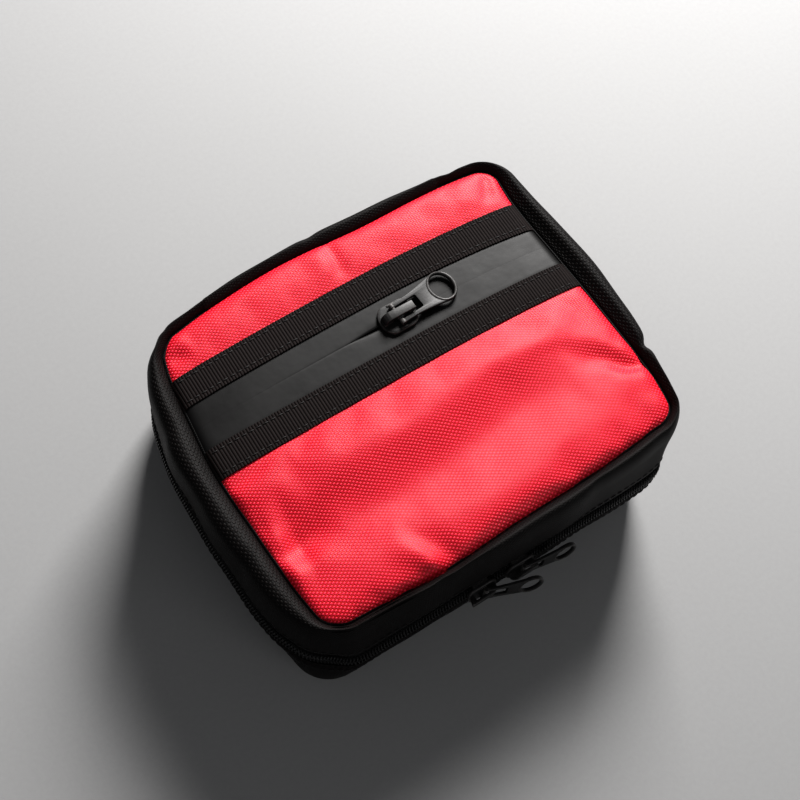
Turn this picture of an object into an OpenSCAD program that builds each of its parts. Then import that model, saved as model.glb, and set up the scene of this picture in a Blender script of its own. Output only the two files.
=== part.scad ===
// Soft zipped first aid pouch: a padded box of coated fabric whose lid folds back on a rear
// fabric hinge when the two-slider main zip is run open. A second zip crosses the face and
// closes a flat pocket in the lid. Millimetres, +Z up, origin under the middle of the floor,
// +X along the zips, -Y the front wall with the main sliders.

/* [Pouch] */
// Width of the padded face between its side seams
face_w = 151; // [140:1:170]
// Depth of the padded face between its front and rear seams
face_d = 126; // [116:1:140]
// Height from the floor to the crest of the soft roll around the face
body_h = 68; // [64:1:76]
// Corner radius of the face seam
face_r = 8; // [6:1:12]
// Width of the soft roll outside the face seam
roll_w = 7; // [6:0.5:9]
// Thickness of the shell fabric with its foam
shell_t = 1.4; // [1:0.1:2]
// Height of the main zip's centre line
zip_z = 37; // [36:1:38]
// Lean of the main zip band from upright
zip_lean = 6; // [4:1:8]

/* [Main zip] */
// Visible half width of the main zip tape
zip_half = 6.2; // [5.8:0.1:6.6]
// Half width of the gap between the two coils
coil_gap = 0.8; // [0.7:0.05:0.9]
// Width of one coil
coil_w = 2.1; // [1.8:0.1:2.3]
// Height of one coil above its tape
coil_h = 1.7; // [1.4:0.1:1.8]
// Thickness of a zip tape
tape_t = 0.8; // [0.6:0.1:0.9]

/* [Face] */
// Distance of the pocket zip's centre line behind the middle of the face
pocket_zip_y = 25.5; // [20:0.5:30]
// Visible half width of the pocket zip tape
pocket_zip_half = 9.9; // [9:0.1:11]
// Width of each grosgrain ribbon
ribbon_w = 11.9; // [10:0.1:13]
// Thickness of each grosgrain ribbon
ribbon_t = 0.6; // [0.5:0.1:0.8]

/* [Rear hinge] */
// Width of the rear hinge panel
hinge_w = 100; // [80:1:110]
// Radius of the folded bead along the hinge line
bead_r = 0.9; // [0.8:0.05:1]

/* [Sliders] */
// Size of the pocket slider
pocket_slider_s = 1; // [0.9:0.01:1]
// Size of the main sliders
main_slider_s = 0.86; // [0.8:0.01:0.88]
// Swing of the right pull away from the wall at rest
right_pull_out = 6; // [5:1:8]
// Droop of the right pull along the wall at rest
right_pull_droop = 5; // [0:1:6]
// Swing of the left pull away from the wall at rest
left_pull_out = 17; // [16:1:20]
// Droop of the left pull along the wall at rest
left_pull_droop = 8; // [0:1:8]
// Turn of the pocket pull in the plane of the face
pocket_pull_yaw = 5; // [0:1:6]
// Dip of the pocket pull's ring towards the face
pocket_pull_dip = 3.5; // [3:0.1:3.6]

/* [Contents] */
// Radius of the elastic bandage roll
bandage_r = 15.5; // [13:0.5:16]
// Radius of the gauze roll
gauze_r = 14; // [12:0.5:15]
// Outer radius of the adhesive tape
tape_roll_r = 22; // [18:0.5:24]
// Height of the two dividers
divider_h = 25; // [20:1:28]

/* [Hidden] */
$fn = 48;
eps = 0.05;

// Corner centres and the crest outline that every swept profile is measured from.
cx = face_w / 2 - face_r;
cy = face_d / 2 - face_r;
crest_r = face_r + roll_w;
crest_y = cy + crest_r;

// Main zip frame in the swept profile plane: x outward, y up, turned by the lean.
zt = [-sin(zip_lean), cos(zip_lean)];
zn = [cos(zip_lean), sin(zip_lean)];
function zip_pt(v, w) = [0, zip_z] + v * zt + w * zn;

// Face levels.
face_top = body_h - 1.2;
face_low = face_top - shell_t;
ribbon_top = face_top + ribbon_t;
pocket_tape_low = face_top - tape_t;
backing_z = 50.6;

// Hinge axis, at the outermost line of the rear wall.
hinge_o = 3.1;
hinge_y = crest_y + hinge_o;

// Outer lines of the shell as [outward offset from the crest outline, height].
lid_outer = [
  zip_pt(zip_half, shell_t), [1.2, 48], [1.3, 54], [0.9, 60], [0.2, body_h - 4],
  [-1.2, body_h - 1.2], [-3.5, body_h], [-5.6, body_h - 0.3], [-roll_w, face_top]
];
base_outer = [
  zip_pt(-zip_half, shell_t), [2.5, 27], [2.7, 22], [2.3, 15], [1.4, 8], [0, 3],
  [-1.8, 0.9], [-4, 0], [-4.8, 0]
];
lid_rear = [
  [2.9, zip_z + 1.4], [2.7, 46], [2.2, 54], [1.2, 60], [0.3, body_h - 4],
  [-1.2, body_h - 1.2], [-3.5, body_h], [-5.6, body_h - 0.3], [-roll_w, face_top]
];
base_rear = [
  [2.9, zip_z], [2.9, 28], [2.9, 22], [2.5, 15], [1.5, 8], [0, 3], [-1.8, 0.9], [-4, 0],
  [-4.8, 0]
];

// A line of points moved sideways by d, each along the normal of its two neighbours.
function shifted(p, d) = [
  for (i = [0:len(p) - 1])
    let (a = p[max(i - 1, 0)], b = p[min(i + 1, len(p) - 1)], t = (b - a) / norm(b - a))
      p[i] + d * [-t[1], t[0]]
];
function backwards(p) = [for (i = [len(p) - 1:-1:0]) p[i]];
function skin(p, d) = concat(p, backwards(shifted(p, d)));
function out_of(p, k, at) = [for (q = p) [k * (at + q[0]), q[1]]];

// Extrudes a profile along X or Y, centred.
module along_x(len, p) {
  translate([-len / 2, 0, 0]) rotate([90, 0, 90]) linear_extrude(len) polygon(p);
}
module along_y(len, p) {
  translate([0, len / 2, 0]) rotate([90, 0, 0]) linear_extrude(len) polygon(p);
}

// Sweeps a profile round the front, both sides and all four corners, with short rear returns
// up to the hinge panel, or right across the rear.
module swept(p, closed = false) {
  along_x(2 * cx, out_of(p, -1, crest_y));
  for (k = [-1, 1]) along_y(2 * cy, out_of(p, k, cx + crest_r));
  for (q = [[1, 1, 0], [-1, 1, 90], [-1, -1, 180], [1, -1, 270]])
    translate([q[0] * cx, q[1] * cy, 0]) rotate([0, 0, q[2]])
      rotate_extrude(angle = 90) polygon(out_of(p, 1, crest_r));
  if (closed) along_x(2 * cx, out_of(p, 1, crest_y));
  if (!closed)
    for (k = [-1, 1])
      translate([k * (cx + hinge_w / 2) / 2, 0, 0])
        along_x(cx - hinge_w / 2, out_of(p, 1, crest_y));
}

// Flat plate with the outline of the crest moved outward by o.
module plate(o, z0, z1) {
  r = crest_r + o;
  translate([0, 0, z0]) linear_extrude(z1 - z0) {
    square([2 * (cx + r), 2 * cy], center = true);
    square([2 * cx, 2 * (cy + r)], center = true);
    for (sx = [-1, 1], sy = [-1, 1]) translate([sx * cx, sy * cy]) circle(r);
  }
}

// The stretch of a plate between two values of y.
module plate_slice(o, z0, z1, y0, y1) {
  intersection() {
    plate(o, z0, z1);
    translate([-200, y0, z0 - 1]) cube([400, y1 - y0, z1 - z0 + 2]);
  }
}

// Box given by two corners.
module span(a, b) {
  translate(a) cube(b - a);
}

// Round bar or roll along Y with chamfered ends and a hole of radius ri.
module roll_y(r, ri, len, c) {
  rotate([90, 0, 0]) rotate_extrude()
    polygon([
      [ri, -len / 2], [r - c, -len / 2], [r, -len / 2 + c], [r, len / 2 - c],
      [r - c, len / 2], [ri, len / 2]
    ]);
}

// ---- Shell, lower half ----

module base_panel() color("#17171a") plate(-4.85, 0, shell_t);

module base_gusset() color("#1b1a1c") swept(skin(base_outer, -shell_t));

module base_zip_tape() color("#232327")
  swept([
    zip_pt(-coil_gap, 0), zip_pt(-coil_gap, -tape_t), zip_pt(-9.5, -tape_t), zip_pt(-9.5, 0)
  ]);

module base_zip_coil() color("#101012") swept(coil_profile(-1));

module hinge_panel_lower() color("#1b1a1c") {
  along_x(hinge_w, out_of(skin(base_rear, -shell_t), 1, crest_y));
  translate([-hinge_w / 2, hinge_y, zip_z]) rotate([0, 90, 0]) cylinder(h = hinge_w, r = bead_r);
}

module base_lining() color("#3a3b40") {
  plate(-4.7, 1.5, 2.1);
  swept([
    [-4.7, 1.5], [-2.9, 2.6], [-1.6, 4.4], [-0.35, 8.4], [0.65, 15.2], [1.1, 22], [1.05, 24],
    [0.45, 24], [0.5, 22], [0.05, 15.3], [-0.93, 8.6], [-2.1, 4.75], [-3.2, 3.2], [-4.7, 2.1]
  ], true);
}

module base_seam_binding() color("#0d0d0f")
  swept([[-7.4, 2.2], [-6.2, 2.2], [-6.2, 6.2], [-7.4, 6.2]], true);

module divider(x) {
  translate([x, 0, 0]) span([-0.5, -61, 2.2], [0.5, 61, 2.2 + divider_h]);
}
module divider_left() color("#2c2d31") divider(-39);
module divider_right() color("#2c2d31") divider(21);

// ---- Contents of the lower half ----

module bandage_roll() color("#d9b896") translate([-57, -29, 2.4 + bandage_r])
  roll_y(bandage_r, 2, 52, 1.2);

module bandage_clip() color("#b9bcc0") {
  top = 2.4 + 2 * bandage_r;
  span([-62, -31, top + 0.05], [-52, -27, top + 0.65]);
  for (x = [-62, -53.2]) span([x, -31, top - 0.4], [x + 1.2, -27, top + 0.05]);
}

module gauze_roll() color("#f1f1ee") translate([-57, 29, 2.4 + gauze_r])
  roll_y(gauze_r, 2, 50, 1.6);

// A stack of flat sachets, each a little smaller than its crimped edge.
module sachets(w, d, n, t, at) {
  for (i = [0:n - 1])
    translate(at + [0, 0, i * t]) {
      span([-w / 2, -d / 2, t / 2 - 0.25], [w / 2, d / 2, t / 2 + 0.25]);
      span([-w / 2 + 4, -d / 2 + 4, 0], [w / 2 - 4, d / 2 - 4, t]);
    }
}
module gauze_packets() color("#e9eef2") sachets(54, 54, 5, 3.6, [-9, -28.5, 2.3]);
module plaster_packets() color("#efe6d8")
  for (x = [-22, -2]) sachets(19, 56, 4, 2.6, [x + 3, -28.5, 20.6]);
module glove_packet() color("#5f8fc4") sachets(54, 54, 2, 6.5, [-9, 28.5, 2.3]);
module wipe_packets() color("#cfe3ee") sachets(50, 42, 6, 2.3, [-9, 28.5, 15.6]);

module tape_spool() color("#f4f4f2") translate([48, -30, 2.3]) {
  difference() {
    cylinder(h = 25, r = 9.4);
    translate([0, 0, -1]) cylinder(h = 27, r = 8);
  }
  difference() {
    cylinder(h = 1, r = tape_roll_r + 1);
    translate([0, 0, -1]) cylinder(h = 3, r = 8);
  }
}
module adhesive_tape() color("#e8d9c4") translate([48, -30, 3.5]) difference() {
  cylinder(h = 23, r = tape_roll_r);
  translate([0, 0, -1]) cylinder(h = 25, r = 9.5);
}
module foil_blanket() color("#c9a640") translate([48, 28, 2.3]) {
  for (i = [0:3]) span([-24, -27, i * 6.2], [24, 27, i * 6.2 + 6]);
  span([-24, 27, 0], [24, 27.8, 24.6]);
}

// ---- Shell, upper half ----

seam_o = -roll_w - 0.1;
upper_split = pocket_zip_y + pocket_zip_half + ribbon_w / 2 - 0.6;
lower_split = pocket_zip_y - pocket_zip_half - ribbon_w / 2 + 0.6;

module face_panel_upper() color("#e0222c")
  plate_slice(seam_o, face_low, face_top, upper_split + 0.1, 200);
module face_panel_lower() color("#e0222c")
  plate_slice(seam_o, face_low, face_top, -200, lower_split - 0.1);

module grosgrain_upper() color("#141314")
  plate_slice(seam_o, face_top, ribbon_top, pocket_zip_y + pocket_zip_half,
    pocket_zip_y + pocket_zip_half + ribbon_w);
module grosgrain_lower() color("#141314")
  plate_slice(seam_o, face_top, ribbon_top, pocket_zip_y - pocket_zip_half - ribbon_w,
    pocket_zip_y - pocket_zip_half);

module pocket_zip_tape_upper() color("#2b2c2f")
  plate_slice(seam_o, pocket_tape_low, face_top, pocket_zip_y + coil_gap, upper_split);
module pocket_zip_tape_lower() color("#2b2c2f")
  plate_slice(seam_o, pocket_tape_low, face_top, lower_split, pocket_zip_y - coil_gap);

// Coil section on the main zip's outer side, k = 1 above the centre line and -1 below.
function coil_profile(k) = [
  zip_pt(k * coil_gap, 0.02), zip_pt(k * (coil_gap + coil_w), 0.02),
  zip_pt(k * (coil_gap + coil_w), coil_h - 0.6), zip_pt(k * (coil_gap + coil_w - 0.6), coil_h),
  zip_pt(k * (coil_gap + 0.5), coil_h), zip_pt(k * coil_gap, coil_h - 0.5)
];

// Coil section under the pocket zip's tape.
module pocket_coil(k) {
  a = coil_gap;
  b = coil_gap + coil_w;
  top = pocket_tape_low - 0.02;
  translate([0, pocket_zip_y, 0])
    along_x(face_w - 4, [
      [k * a, top], [k * b, top], [k * b, top - coil_h + 0.6], [k * (b - 0.6), top - coil_h],
      [k * (a + 0.5), top - coil_h], [k * a, top - coil_h + 0.5]
    ]);
}
module pocket_zip_coil_upper() color("#101012") pocket_coil(1);
module pocket_zip_coil_lower() color("#101012") pocket_coil(-1);

module lid_gusset() color("#1b1a1c") swept(skin(lid_outer, shell_t));

module lid_zip_tape() color("#232327")
  swept([
    zip_pt(coil_gap, 0), zip_pt(coil_gap, -tape_t), zip_pt(9.5, -tape_t), zip_pt(9.5, 0)
  ]);

module lid_zip_coil() color("#101012") swept(coil_profile(1));

module hinge_panel_upper() color("#1b1a1c")
  along_x(hinge_w, out_of(skin(lid_rear, shell_t), 1, crest_y));

module pocket_backing() color("#2f3035") plate(-1, backing_z, backing_z + 0.6);

module lid_seam_binding() color("#0d0d0f")
  swept([
    [-8.4, face_low - 4], [-7.2, face_low - 4], [-7.2, face_low - 0.05], [-8.4, face_low - 0.05]
  ], true);

// Two elastic loops under the pocket backing.
module tool_loops() color("#1d1d20")
  for (x = [-22, 18])
    translate([x, 20, 0])
      along_x(12, [
        [-9, backing_z], [-9, backing_z - 7], [9, backing_z - 7], [9, backing_z],
        [8.2, backing_z], [8.2, backing_z - 6.2], [-8.2, backing_z - 6.2], [-8.2, backing_z]
      ]);

// Two sprung arms joined at the left, with their tips nearly closed at the right.
module tweezers() color("#c3c7cb") translate([-2, 20, backing_z - 5.6]) {
  for (k = [-1, 1])
    linear_extrude(4.5)
      polygon([
        [-44, 0], [-44, k * 1.3], [-20, k * 5.6], [6, k * 6], [44, k * 1.4], [44, k * 0.4],
        [6, k * 4.9], [-20, k * 4.5], [-40, k * 0.9], [-40, 0]
      ]);
}

// ---- Zip sliders ----
// Slider frame: x along the zip with the nose at -x, y across it, z outward, z = 0 on the
// tape's outer side and x = 0 at the pull's crossbar.

// Half width of the body at x, for a size of 1.
function half_w(x) =
  x < -3 ? 6.1 * sqrt(max(0, 1 - pow((x + 3) / 4.4, 2))) :
  x < 3.6 ? 6.1 : 6.1 - 1.7 * pow((x - 3.6) / 3.2, 2);
plan_x = [for (i = [0:12]) i < 7 ? -3 - 4.4 * cos(i * 15) : i < 8 ? 0 : 3.6 + (i - 8) * 0.8];

module slider_plan(s, f = 1) {
  polygon(concat(
    [for (x = plan_x) s * f * [x, half_w(x)]],
    [for (i = [len(plan_x) - 1:-1:1]) s * f * [plan_x[i], -half_w(plan_x[i])]]
  ));
}

// Body: top plate from z0, bottom plate down from z1, the wedge post between the two coils,
// and side flanges from f0 to f1 that guide the coils.
module slider_body(s, z0, z1, f0, f1) {
  translate([0, 0, z0]) linear_extrude(1 * s) slider_plan(s);
  translate([0, 0, z0 + s - eps]) linear_extrude(0.4 * s + eps) slider_plan(s, 0.93);
  translate([0, 0, z1 - 1.1 * s]) linear_extrude(1.1 * s) slider_plan(s, 0.93);
  span([-6.2 * s, -0.5, z1 - eps], [-3.4 * s, 0.5, z0 + eps]);
  for (k = [-1, 1])
    translate([0, k * (3.3 + (5.6 * s - 3.3) / 2), 0])
      span([-3 * s, -(5.6 * s - 3.3) / 2, f0], [3.4 * s, (5.6 * s - 3.3) / 2, f1]);
}

// Height of the crossbar above the top plate's underside.
function bar_z(s) = 2.75 * s;

// Crown: a flat bar bridging the crossbar, with a rounded foot at the nose and a square one.
module slider_crown(s, z0) {
  b = z0 + 1.4 * s + 0.01;
  w = 1.7 * s;
  translate([0, w, 0]) rotate([90, 0, 0]) linear_extrude(2 * w)
    polygon([
      [-6.2 * s, b], [-6 * s, b + 1.9 * s], [-5 * s, b + 2.9 * s], [-3.6 * s, b + 3.5 * s],
      [7 * s, b + 3.5 * s], [7 * s, b + 2.3 * s], [6.2 * s, b], [4.6 * s, b],
      [4.6 * s, b + 2.3 * s], [-2.4 * s, b + 2.3 * s], [-2.9 * s, b]
    ]);
}

// Pull in its own frame: crossbar along y at the origin, ring towards +x, flat at z = 0.
pull_len = 21.1;
ring_r = 6.5;
ring_hole_r = 5.3;
function neck_w(x) = x < 11 ? 4.6 - 0.45 * sin(90 * (x - 2) / 9) : 4.15 + 2 * pow((x - 11) / 7.6, 2);

module pull_blade(s) {
  t = 1.3 * s;
  translate([0, 0, -t / 2]) linear_extrude(t) difference() {
    polygon(concat(
      [for (x = [0, 2, 4, 6, 8.5, 11, 13, 15, 17, 18.6]) s * [x, neck_w(max(x, 2))]],
      [for (x = [18.6, 17, 15, 13, 11, 8.5, 6, 4, 2, 0]) s * [x, -neck_w(max(x, 2))]]
    ));
    translate(s * [-1, -2.8]) square(s * [11.2, 5.6]);
    translate(s * [pull_len, 0]) circle(s * (ring_hole_r + 0.4));
  }
}
module pull(s) {
  pull_blade(s);
  translate(s * [pull_len, 0, 0]) rotate_extrude()
    polygon(s * [
      [ring_hole_r, -0.6], [ring_hole_r + 0.35, -0.95], [ring_r - 0.35, -0.95], [ring_r, -0.6],
      [ring_r, 0.6], [ring_r - 0.35, 0.95], [ring_hole_r + 0.35, 0.95], [ring_hole_r, 0.6]
    ]);
  for (k = [-1, 1])
    translate(s * [0, k * 3.7, 0]) rotate([90, 0, 0]) cylinder(h = 1.8 * s, r = 1.1 * s, center = true);
  rotate([90, 0, 0]) cylinder(h = 9 * s, r = 0.8 * s, center = true);
}

// Pocket slider, on the face.
pocket_x = 6.8;
module at_pocket() translate([pocket_x, pocket_zip_y, face_top]) children();
pocket_z0 = 0.3;
module pocket_slider_body() color("#1a1a1c") at_pocket()
  slider_body(pocket_slider_s, pocket_z0, -tape_t - coil_h - 0.35, -tape_t - coil_h - 0.4,
    -tape_t - 0.35);
module pocket_slider_crown() color("#1a1a1c") at_pocket() slider_crown(pocket_slider_s, pocket_z0);
module pocket_pull() color("#1a1a1c") at_pocket()
  translate([0, 0, pocket_z0 + bar_z(pocket_slider_s)])
    rotate([0, 0, pocket_pull_yaw]) rotate([0, pocket_pull_dip, 0]) pull(pocket_slider_s);

// Main sliders, on the front wall. Their noses face each other.
left_x = -16.5;
right_x = 0.5;
main_z0 = coil_h + 0.3;
module at_main(x) translate([x, -crest_y, zip_z]) rotate([90 - zip_lean, 0, 0]) children();
module main_body() slider_body(main_slider_s, main_z0, -tape_t - 0.35, 0.35, main_z0 + eps);
module main_pull(out, droop)
  translate([0, 0, main_z0 + bar_z(main_slider_s)])
    rotate([0, 0, -droop]) rotate([0, -out, 0]) pull(main_slider_s);

module left_slider_body() color("#1a1a1c") at_main(left_x) mirror([1, 0, 0]) main_body();
module left_slider_crown() color("#1a1a1c") at_main(left_x) mirror([1, 0, 0])
  slider_crown(main_slider_s, main_z0);
module left_pull() color("#1a1a1c") at_main(left_x) main_pull(left_pull_out, left_pull_droop);
module right_slider_body() color("#1a1a1c") at_main(right_x) main_body();
module right_slider_crown() color("#1a1a1c") at_main(right_x)
  slider_crown(main_slider_s, main_z0);
module right_pull() color("#1a1a1c") at_main(right_x) main_pull(right_pull_out, right_pull_droop);

base_panel();
base_gusset();
base_zip_tape();
base_zip_coil();
hinge_panel_lower();
base_lining();
base_seam_binding();
divider_left();
divider_right();
bandage_roll();
bandage_clip();
gauze_roll();
gauze_packets();
plaster_packets();
glove_packet();
wipe_packets();
tape_spool();
adhesive_tape();
foil_blanket();
face_panel_upper();
face_panel_lower();
grosgrain_upper();
grosgrain_lower();
pocket_zip_tape_upper();
pocket_zip_tape_lower();
pocket_zip_coil_upper();
pocket_zip_coil_lower();
lid_gusset();
lid_zip_tape();
lid_zip_coil();
hinge_panel_upper();
pocket_backing();
lid_seam_binding();
tool_loops();
tweezers();
pocket_slider_body();
pocket_slider_crown();
pocket_pull();
left_slider_body();
left_slider_crown();
left_pull();
right_slider_body();
right_slider_crown();
right_pull();
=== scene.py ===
"""Looks of a soft zipped first aid pouch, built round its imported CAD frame.

Shapes are worked out in millimetres in the frame's axes: +X along the zips, -Y the front wall,
+Z up, origin under the middle of the floor. Meshes are made in metres.
"""
import math
import bmesh
import bpy
import numpy as np
from mathutils import Matrix, Vector


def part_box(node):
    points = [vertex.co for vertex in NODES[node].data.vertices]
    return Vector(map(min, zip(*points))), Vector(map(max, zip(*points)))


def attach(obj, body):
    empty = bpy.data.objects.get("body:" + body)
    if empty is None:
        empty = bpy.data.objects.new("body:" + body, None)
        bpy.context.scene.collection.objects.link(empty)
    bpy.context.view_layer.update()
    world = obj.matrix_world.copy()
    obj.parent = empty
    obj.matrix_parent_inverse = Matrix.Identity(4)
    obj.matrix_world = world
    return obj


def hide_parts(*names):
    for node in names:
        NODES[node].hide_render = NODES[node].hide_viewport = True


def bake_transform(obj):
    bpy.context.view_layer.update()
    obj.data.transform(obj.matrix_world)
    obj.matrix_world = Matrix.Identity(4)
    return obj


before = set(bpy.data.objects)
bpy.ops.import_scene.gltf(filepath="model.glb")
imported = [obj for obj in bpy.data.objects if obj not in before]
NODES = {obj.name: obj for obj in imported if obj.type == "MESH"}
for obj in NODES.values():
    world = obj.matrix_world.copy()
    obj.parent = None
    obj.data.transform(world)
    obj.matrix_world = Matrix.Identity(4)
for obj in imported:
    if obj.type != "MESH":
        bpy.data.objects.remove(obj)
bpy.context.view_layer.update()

MM = 0.001
TAU = 2 * math.pi


# ---------------------------------------------------------------- sizes shared with the CAD

def box_mm(node):
    lo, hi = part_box(node)
    return np.array(lo) / MM, np.array(hi) / MM


CX, CY, CREST_R = 67.5, 55.0, 15.0          # corner centres and radius of the crest outline
CREST_Y = CY + CREST_R
FACE_TOP = box_mm("pocket_zip_tape_upper")[1][2]
ZIP_Z, ZIP_LEAN = 37.0, math.radians(6)
COIL_H, COIL_PITCH, TAPE_T = 1.7, 1.2, 0.8
POCKET_ZIP_Y = 25.5
BACKING_LOW = box_mm("pocket_backing")[0][2]
SHELL_T = 1.4
HINGE_HALF = 50.0
SEAM_O = -7.1                               # outward offset of the face seam from the crest
FOOT_Z, CROWN_Z, ROLL_Z = 10, 58, 60        # where the lower wall, the face side and the roll begin
FACE_LEFT, FACE_RIGHT = -78.0, 73.0         # about where the face ends on the zip's line
TO_MIDDLE = 0.985                           # rings of a flat panel stop just short of its middle
UP = (0.0, 0.0, 1.0)


def zip_pt(v, w):
    """A point of the main zip's section as (offset, height), v up the tape and w out of it."""
    return (
        -math.sin(ZIP_LEAN) * v + math.cos(ZIP_LEAN) * w,
        ZIP_Z + math.cos(ZIP_LEAN) * v + math.sin(ZIP_LEAN) * w,
    )


# ---------------------------------------------------------------- curves

def hermite(knots, values, at, period=None):
    """Smooth curve through values at the knots, read at the places in at."""
    k, v = np.asarray(knots, float), np.asarray(values, float)
    if v.ndim == 1:
        v = v[:, None]
    at = np.asarray(at, float)
    if period:
        k = np.concatenate([k[-2:] - period, k, k[:2] + period])
        v = np.concatenate([v[-2:], v, v[:2]])
        at = np.mod(at - k[2], period) + k[2]
    m = np.empty_like(v)
    m[1:-1] = (v[2:] - v[:-2]) / (k[2:] - k[:-2])[:, None]
    m[0] = (v[1] - v[0]) / (k[1] - k[0])
    m[-1] = (v[-1] - v[-2]) / (k[-1] - k[-2])
    i = np.clip(np.searchsorted(k, at, side="right") - 1, 0, len(k) - 2)
    h = (k[i + 1] - k[i])[:, None]
    t = ((at - k[i]) / h[:, 0])[:, None]
    return (
        (2 * t**3 - 3 * t**2 + 1) * v[i] + (t**3 - 2 * t**2 + t) * h * m[i]
        + (3 * t**2 - 2 * t**3) * v[i + 1] + (t**3 - t**2) * h * m[i + 1]
    )


def lengths(points):
    """Length along a line of points, counted from its first."""
    p = np.asarray(points, float)
    return np.concatenate([[0], np.cumsum(np.linalg.norm(np.diff(p, axis=0), axis=1))])


def resample(points, count):
    """count points evenly spaced by chord along a smooth curve through points."""
    p = np.asarray(points, float)
    s = lengths(p)
    fine = hermite(s, p, np.linspace(0, s[-1], 12 * count))
    f = lengths(fine)
    at = np.linspace(0, f[-1], count)
    return np.stack([np.interp(at, f, fine[:, c]) for c in range(p.shape[1])], axis=1)


def smoothstep(a, b, x):
    """0 up to a and 1 from b on, with an even curve between; a may be above b."""
    t = np.clip((x - a) / (b - a), 0, 1)
    return t * t * (3 - 2 * t)


def waves(seed, count, lengths, spread):
    """Seeded sines for slow unevenness: rows of (wave number x, wave number y, phase, size)."""
    rng = np.random.RandomState(seed)
    turn = rng.uniform(0, TAU, count)
    k = TAU / rng.uniform(lengths[0], lengths[1], count)
    return np.stack([k * np.cos(turn), k * np.sin(turn), rng.uniform(0, TAU, count),
                     rng.uniform(0.4, 1, count) * spread / math.sqrt(count)], axis=1)


def uneven(w, x, y):
    """Sum of the sines from waves at the places x, y."""
    out = np.zeros(np.broadcast(x, y).shape)
    for kx, ky, ph, a in w:
        out += a * np.sin(kx * x + ky * y + ph)
    return out


# ---------------------------------------------------------------- the crest outline

ARC = CREST_R * math.pi / 2
STARTS = np.concatenate([[0], np.cumsum([2 * CX, ARC, 2 * CY, ARC] * 2)])
LOOP = STARTS[-1]


def front_s(x): return x + CX
def right_s(y): return STARTS[2] + y + CY
def rear_s(x): return STARTS[4] + CX - x
def left_s(y): return STARTS[6] + CY - y
def corner_s(i): return STARTS[2 * i + 1] + ARC / 2   # from 0, front right, anticlockwise


def crest(s):
    """Points and outward normals of the crest outline, by length from its front left corner."""
    s = np.mod(np.asarray(s, float), LOOP)
    k = np.clip(np.searchsorted(STARTS, s, side="right") - 1, 0, 7)
    t, side, bent = s - STARTS[k], k // 2, k % 2 == 1
    corners = np.array([[-CX, -CY], [CX, -CY], [CX, CY], [-CX, CY]])
    turn = np.radians(90.0 * side) + np.where(bent, t / CREST_R, 0)
    n = np.stack([np.sin(turn), -np.cos(turn)], axis=-1)
    along = np.stack([np.cos(turn), np.sin(turn)], axis=-1)
    centre = np.where(bent[..., None], corners[(side + 1) % 4], corners[side])
    return centre + CREST_R * n + np.where(bent, 0, t)[..., None] * along, n


# How far the stuffed shell stands out from its pattern, at stations round it: the face seam,
# the roll near the top, the zip band and the lower wall, and last how deep the seam's trough is.
BULGE = np.array([
    (front_s(-67), 0.4, -3.6, -0.15, -3.0, 0.1),
    (front_s(-52), 1.2, -2.8, 0.0, -2.9, 0.2),
    (front_s(-30), 2.1, -1.8, 0.0, -2.5, 0.2),
    (front_s(0), 0.8, -1.2, 0.0, -2.5, 0.3),
    (front_s(30), 0.3, -2.0, 0.0, -3.0, 0.3),
    (front_s(52), -0.9, -3.2, 0.0, -3.3, 0.3),
    (front_s(66), -2.2, -5.2, -1.2, -4.8, 0.3),
    (corner_s(0), -1.9, -5.6, -9.0, -9.0, 0.0),
    (right_s(-45), 1.8, -1.6, -3.8, -7.0, 0.6),
    (right_s(-15), 1.9, 2.8, 2.6, -1.0, 1.6),
    (right_s(15), 0.6, 2.8, 4.2, 2.0, 2.2),
    (right_s(45), -0.9, -0.3, 3.0, 1.5, 1.8),
    (corner_s(1), 0.9, -2.7, -1.0, -1.0, 0.3),
    (rear_s(50), 3.6, 0.0, 0.2, 0.6, 0.2),
    (rear_s(15), 3.7, 1.5, 0.0, 1.0, 0.2),
    (rear_s(-20), 5.0, 1.4, 0.0, 1.0, 0.2),
    (rear_s(-50), 2.5, -1.2, -0.6, 0.0, 0.2),
    (corner_s(2), -1.8, -5.0, -5.8, -3.4, 0.3),
    (left_s(45), 2.3, 2.6, 3.4, 0.5, 0.8),
    (left_s(26), 4.4, 6.6, 7.6, 2.0, 1.0),
    (left_s(8), 6.0, 8.2, 8.7, 3.0, 1.2),
    (left_s(-15), 5.3, 8.0, 8.5, 3.0, 1.0),
    (left_s(-45), 3.6, 5.0, 6.0, 2.0, 0.6),
    (corner_s(3), 0.6, -3.2, -2.0, -1.5, 0.1),
])
SHELL_WAVES = waves(11, 9, (26, 60), 0.45)
# Places where the roll is pinched by a crease: where, how wide and how deep.
PINCHES = [
    (right_s(-31), 2.6, 1.5), (left_s(-27), 3.5, 0.5), (left_s(30), 4.0, 0.4),
    (rear_s(-4), 3.5, 0.5), (rear_s(58), 3.0, 0.5), (front_s(-34), 3.5, 0.5),
    (front_s(34), 4.5, 0.35), (corner_s(2) - 9, 3.0, 0.5),
]


def bulge(s):
    """The columns of BULGE after the first, at lengths along the crest."""
    return hermite(BULGE[:, 0], BULGE[:, 1:], s, LOOP)


def shares(o, z):
    """How much of each column of bulge(s) applies at an offset and height of the section."""
    low, high = smoothstep(FOOT_Z, ZIP_Z, z), smoothstep(ZIP_Z, ROLL_Z, z)
    seam = np.where(z > CROWN_Z, smoothstep(0.6, -6.6, o), 0)
    roll = np.where(z > ZIP_Z, high, 0)
    zone = [seam, roll * (1 - seam), np.where(z > ZIP_Z, 1 - high, low), 1 - low]
    return np.stack(zone, axis=-1)


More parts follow.
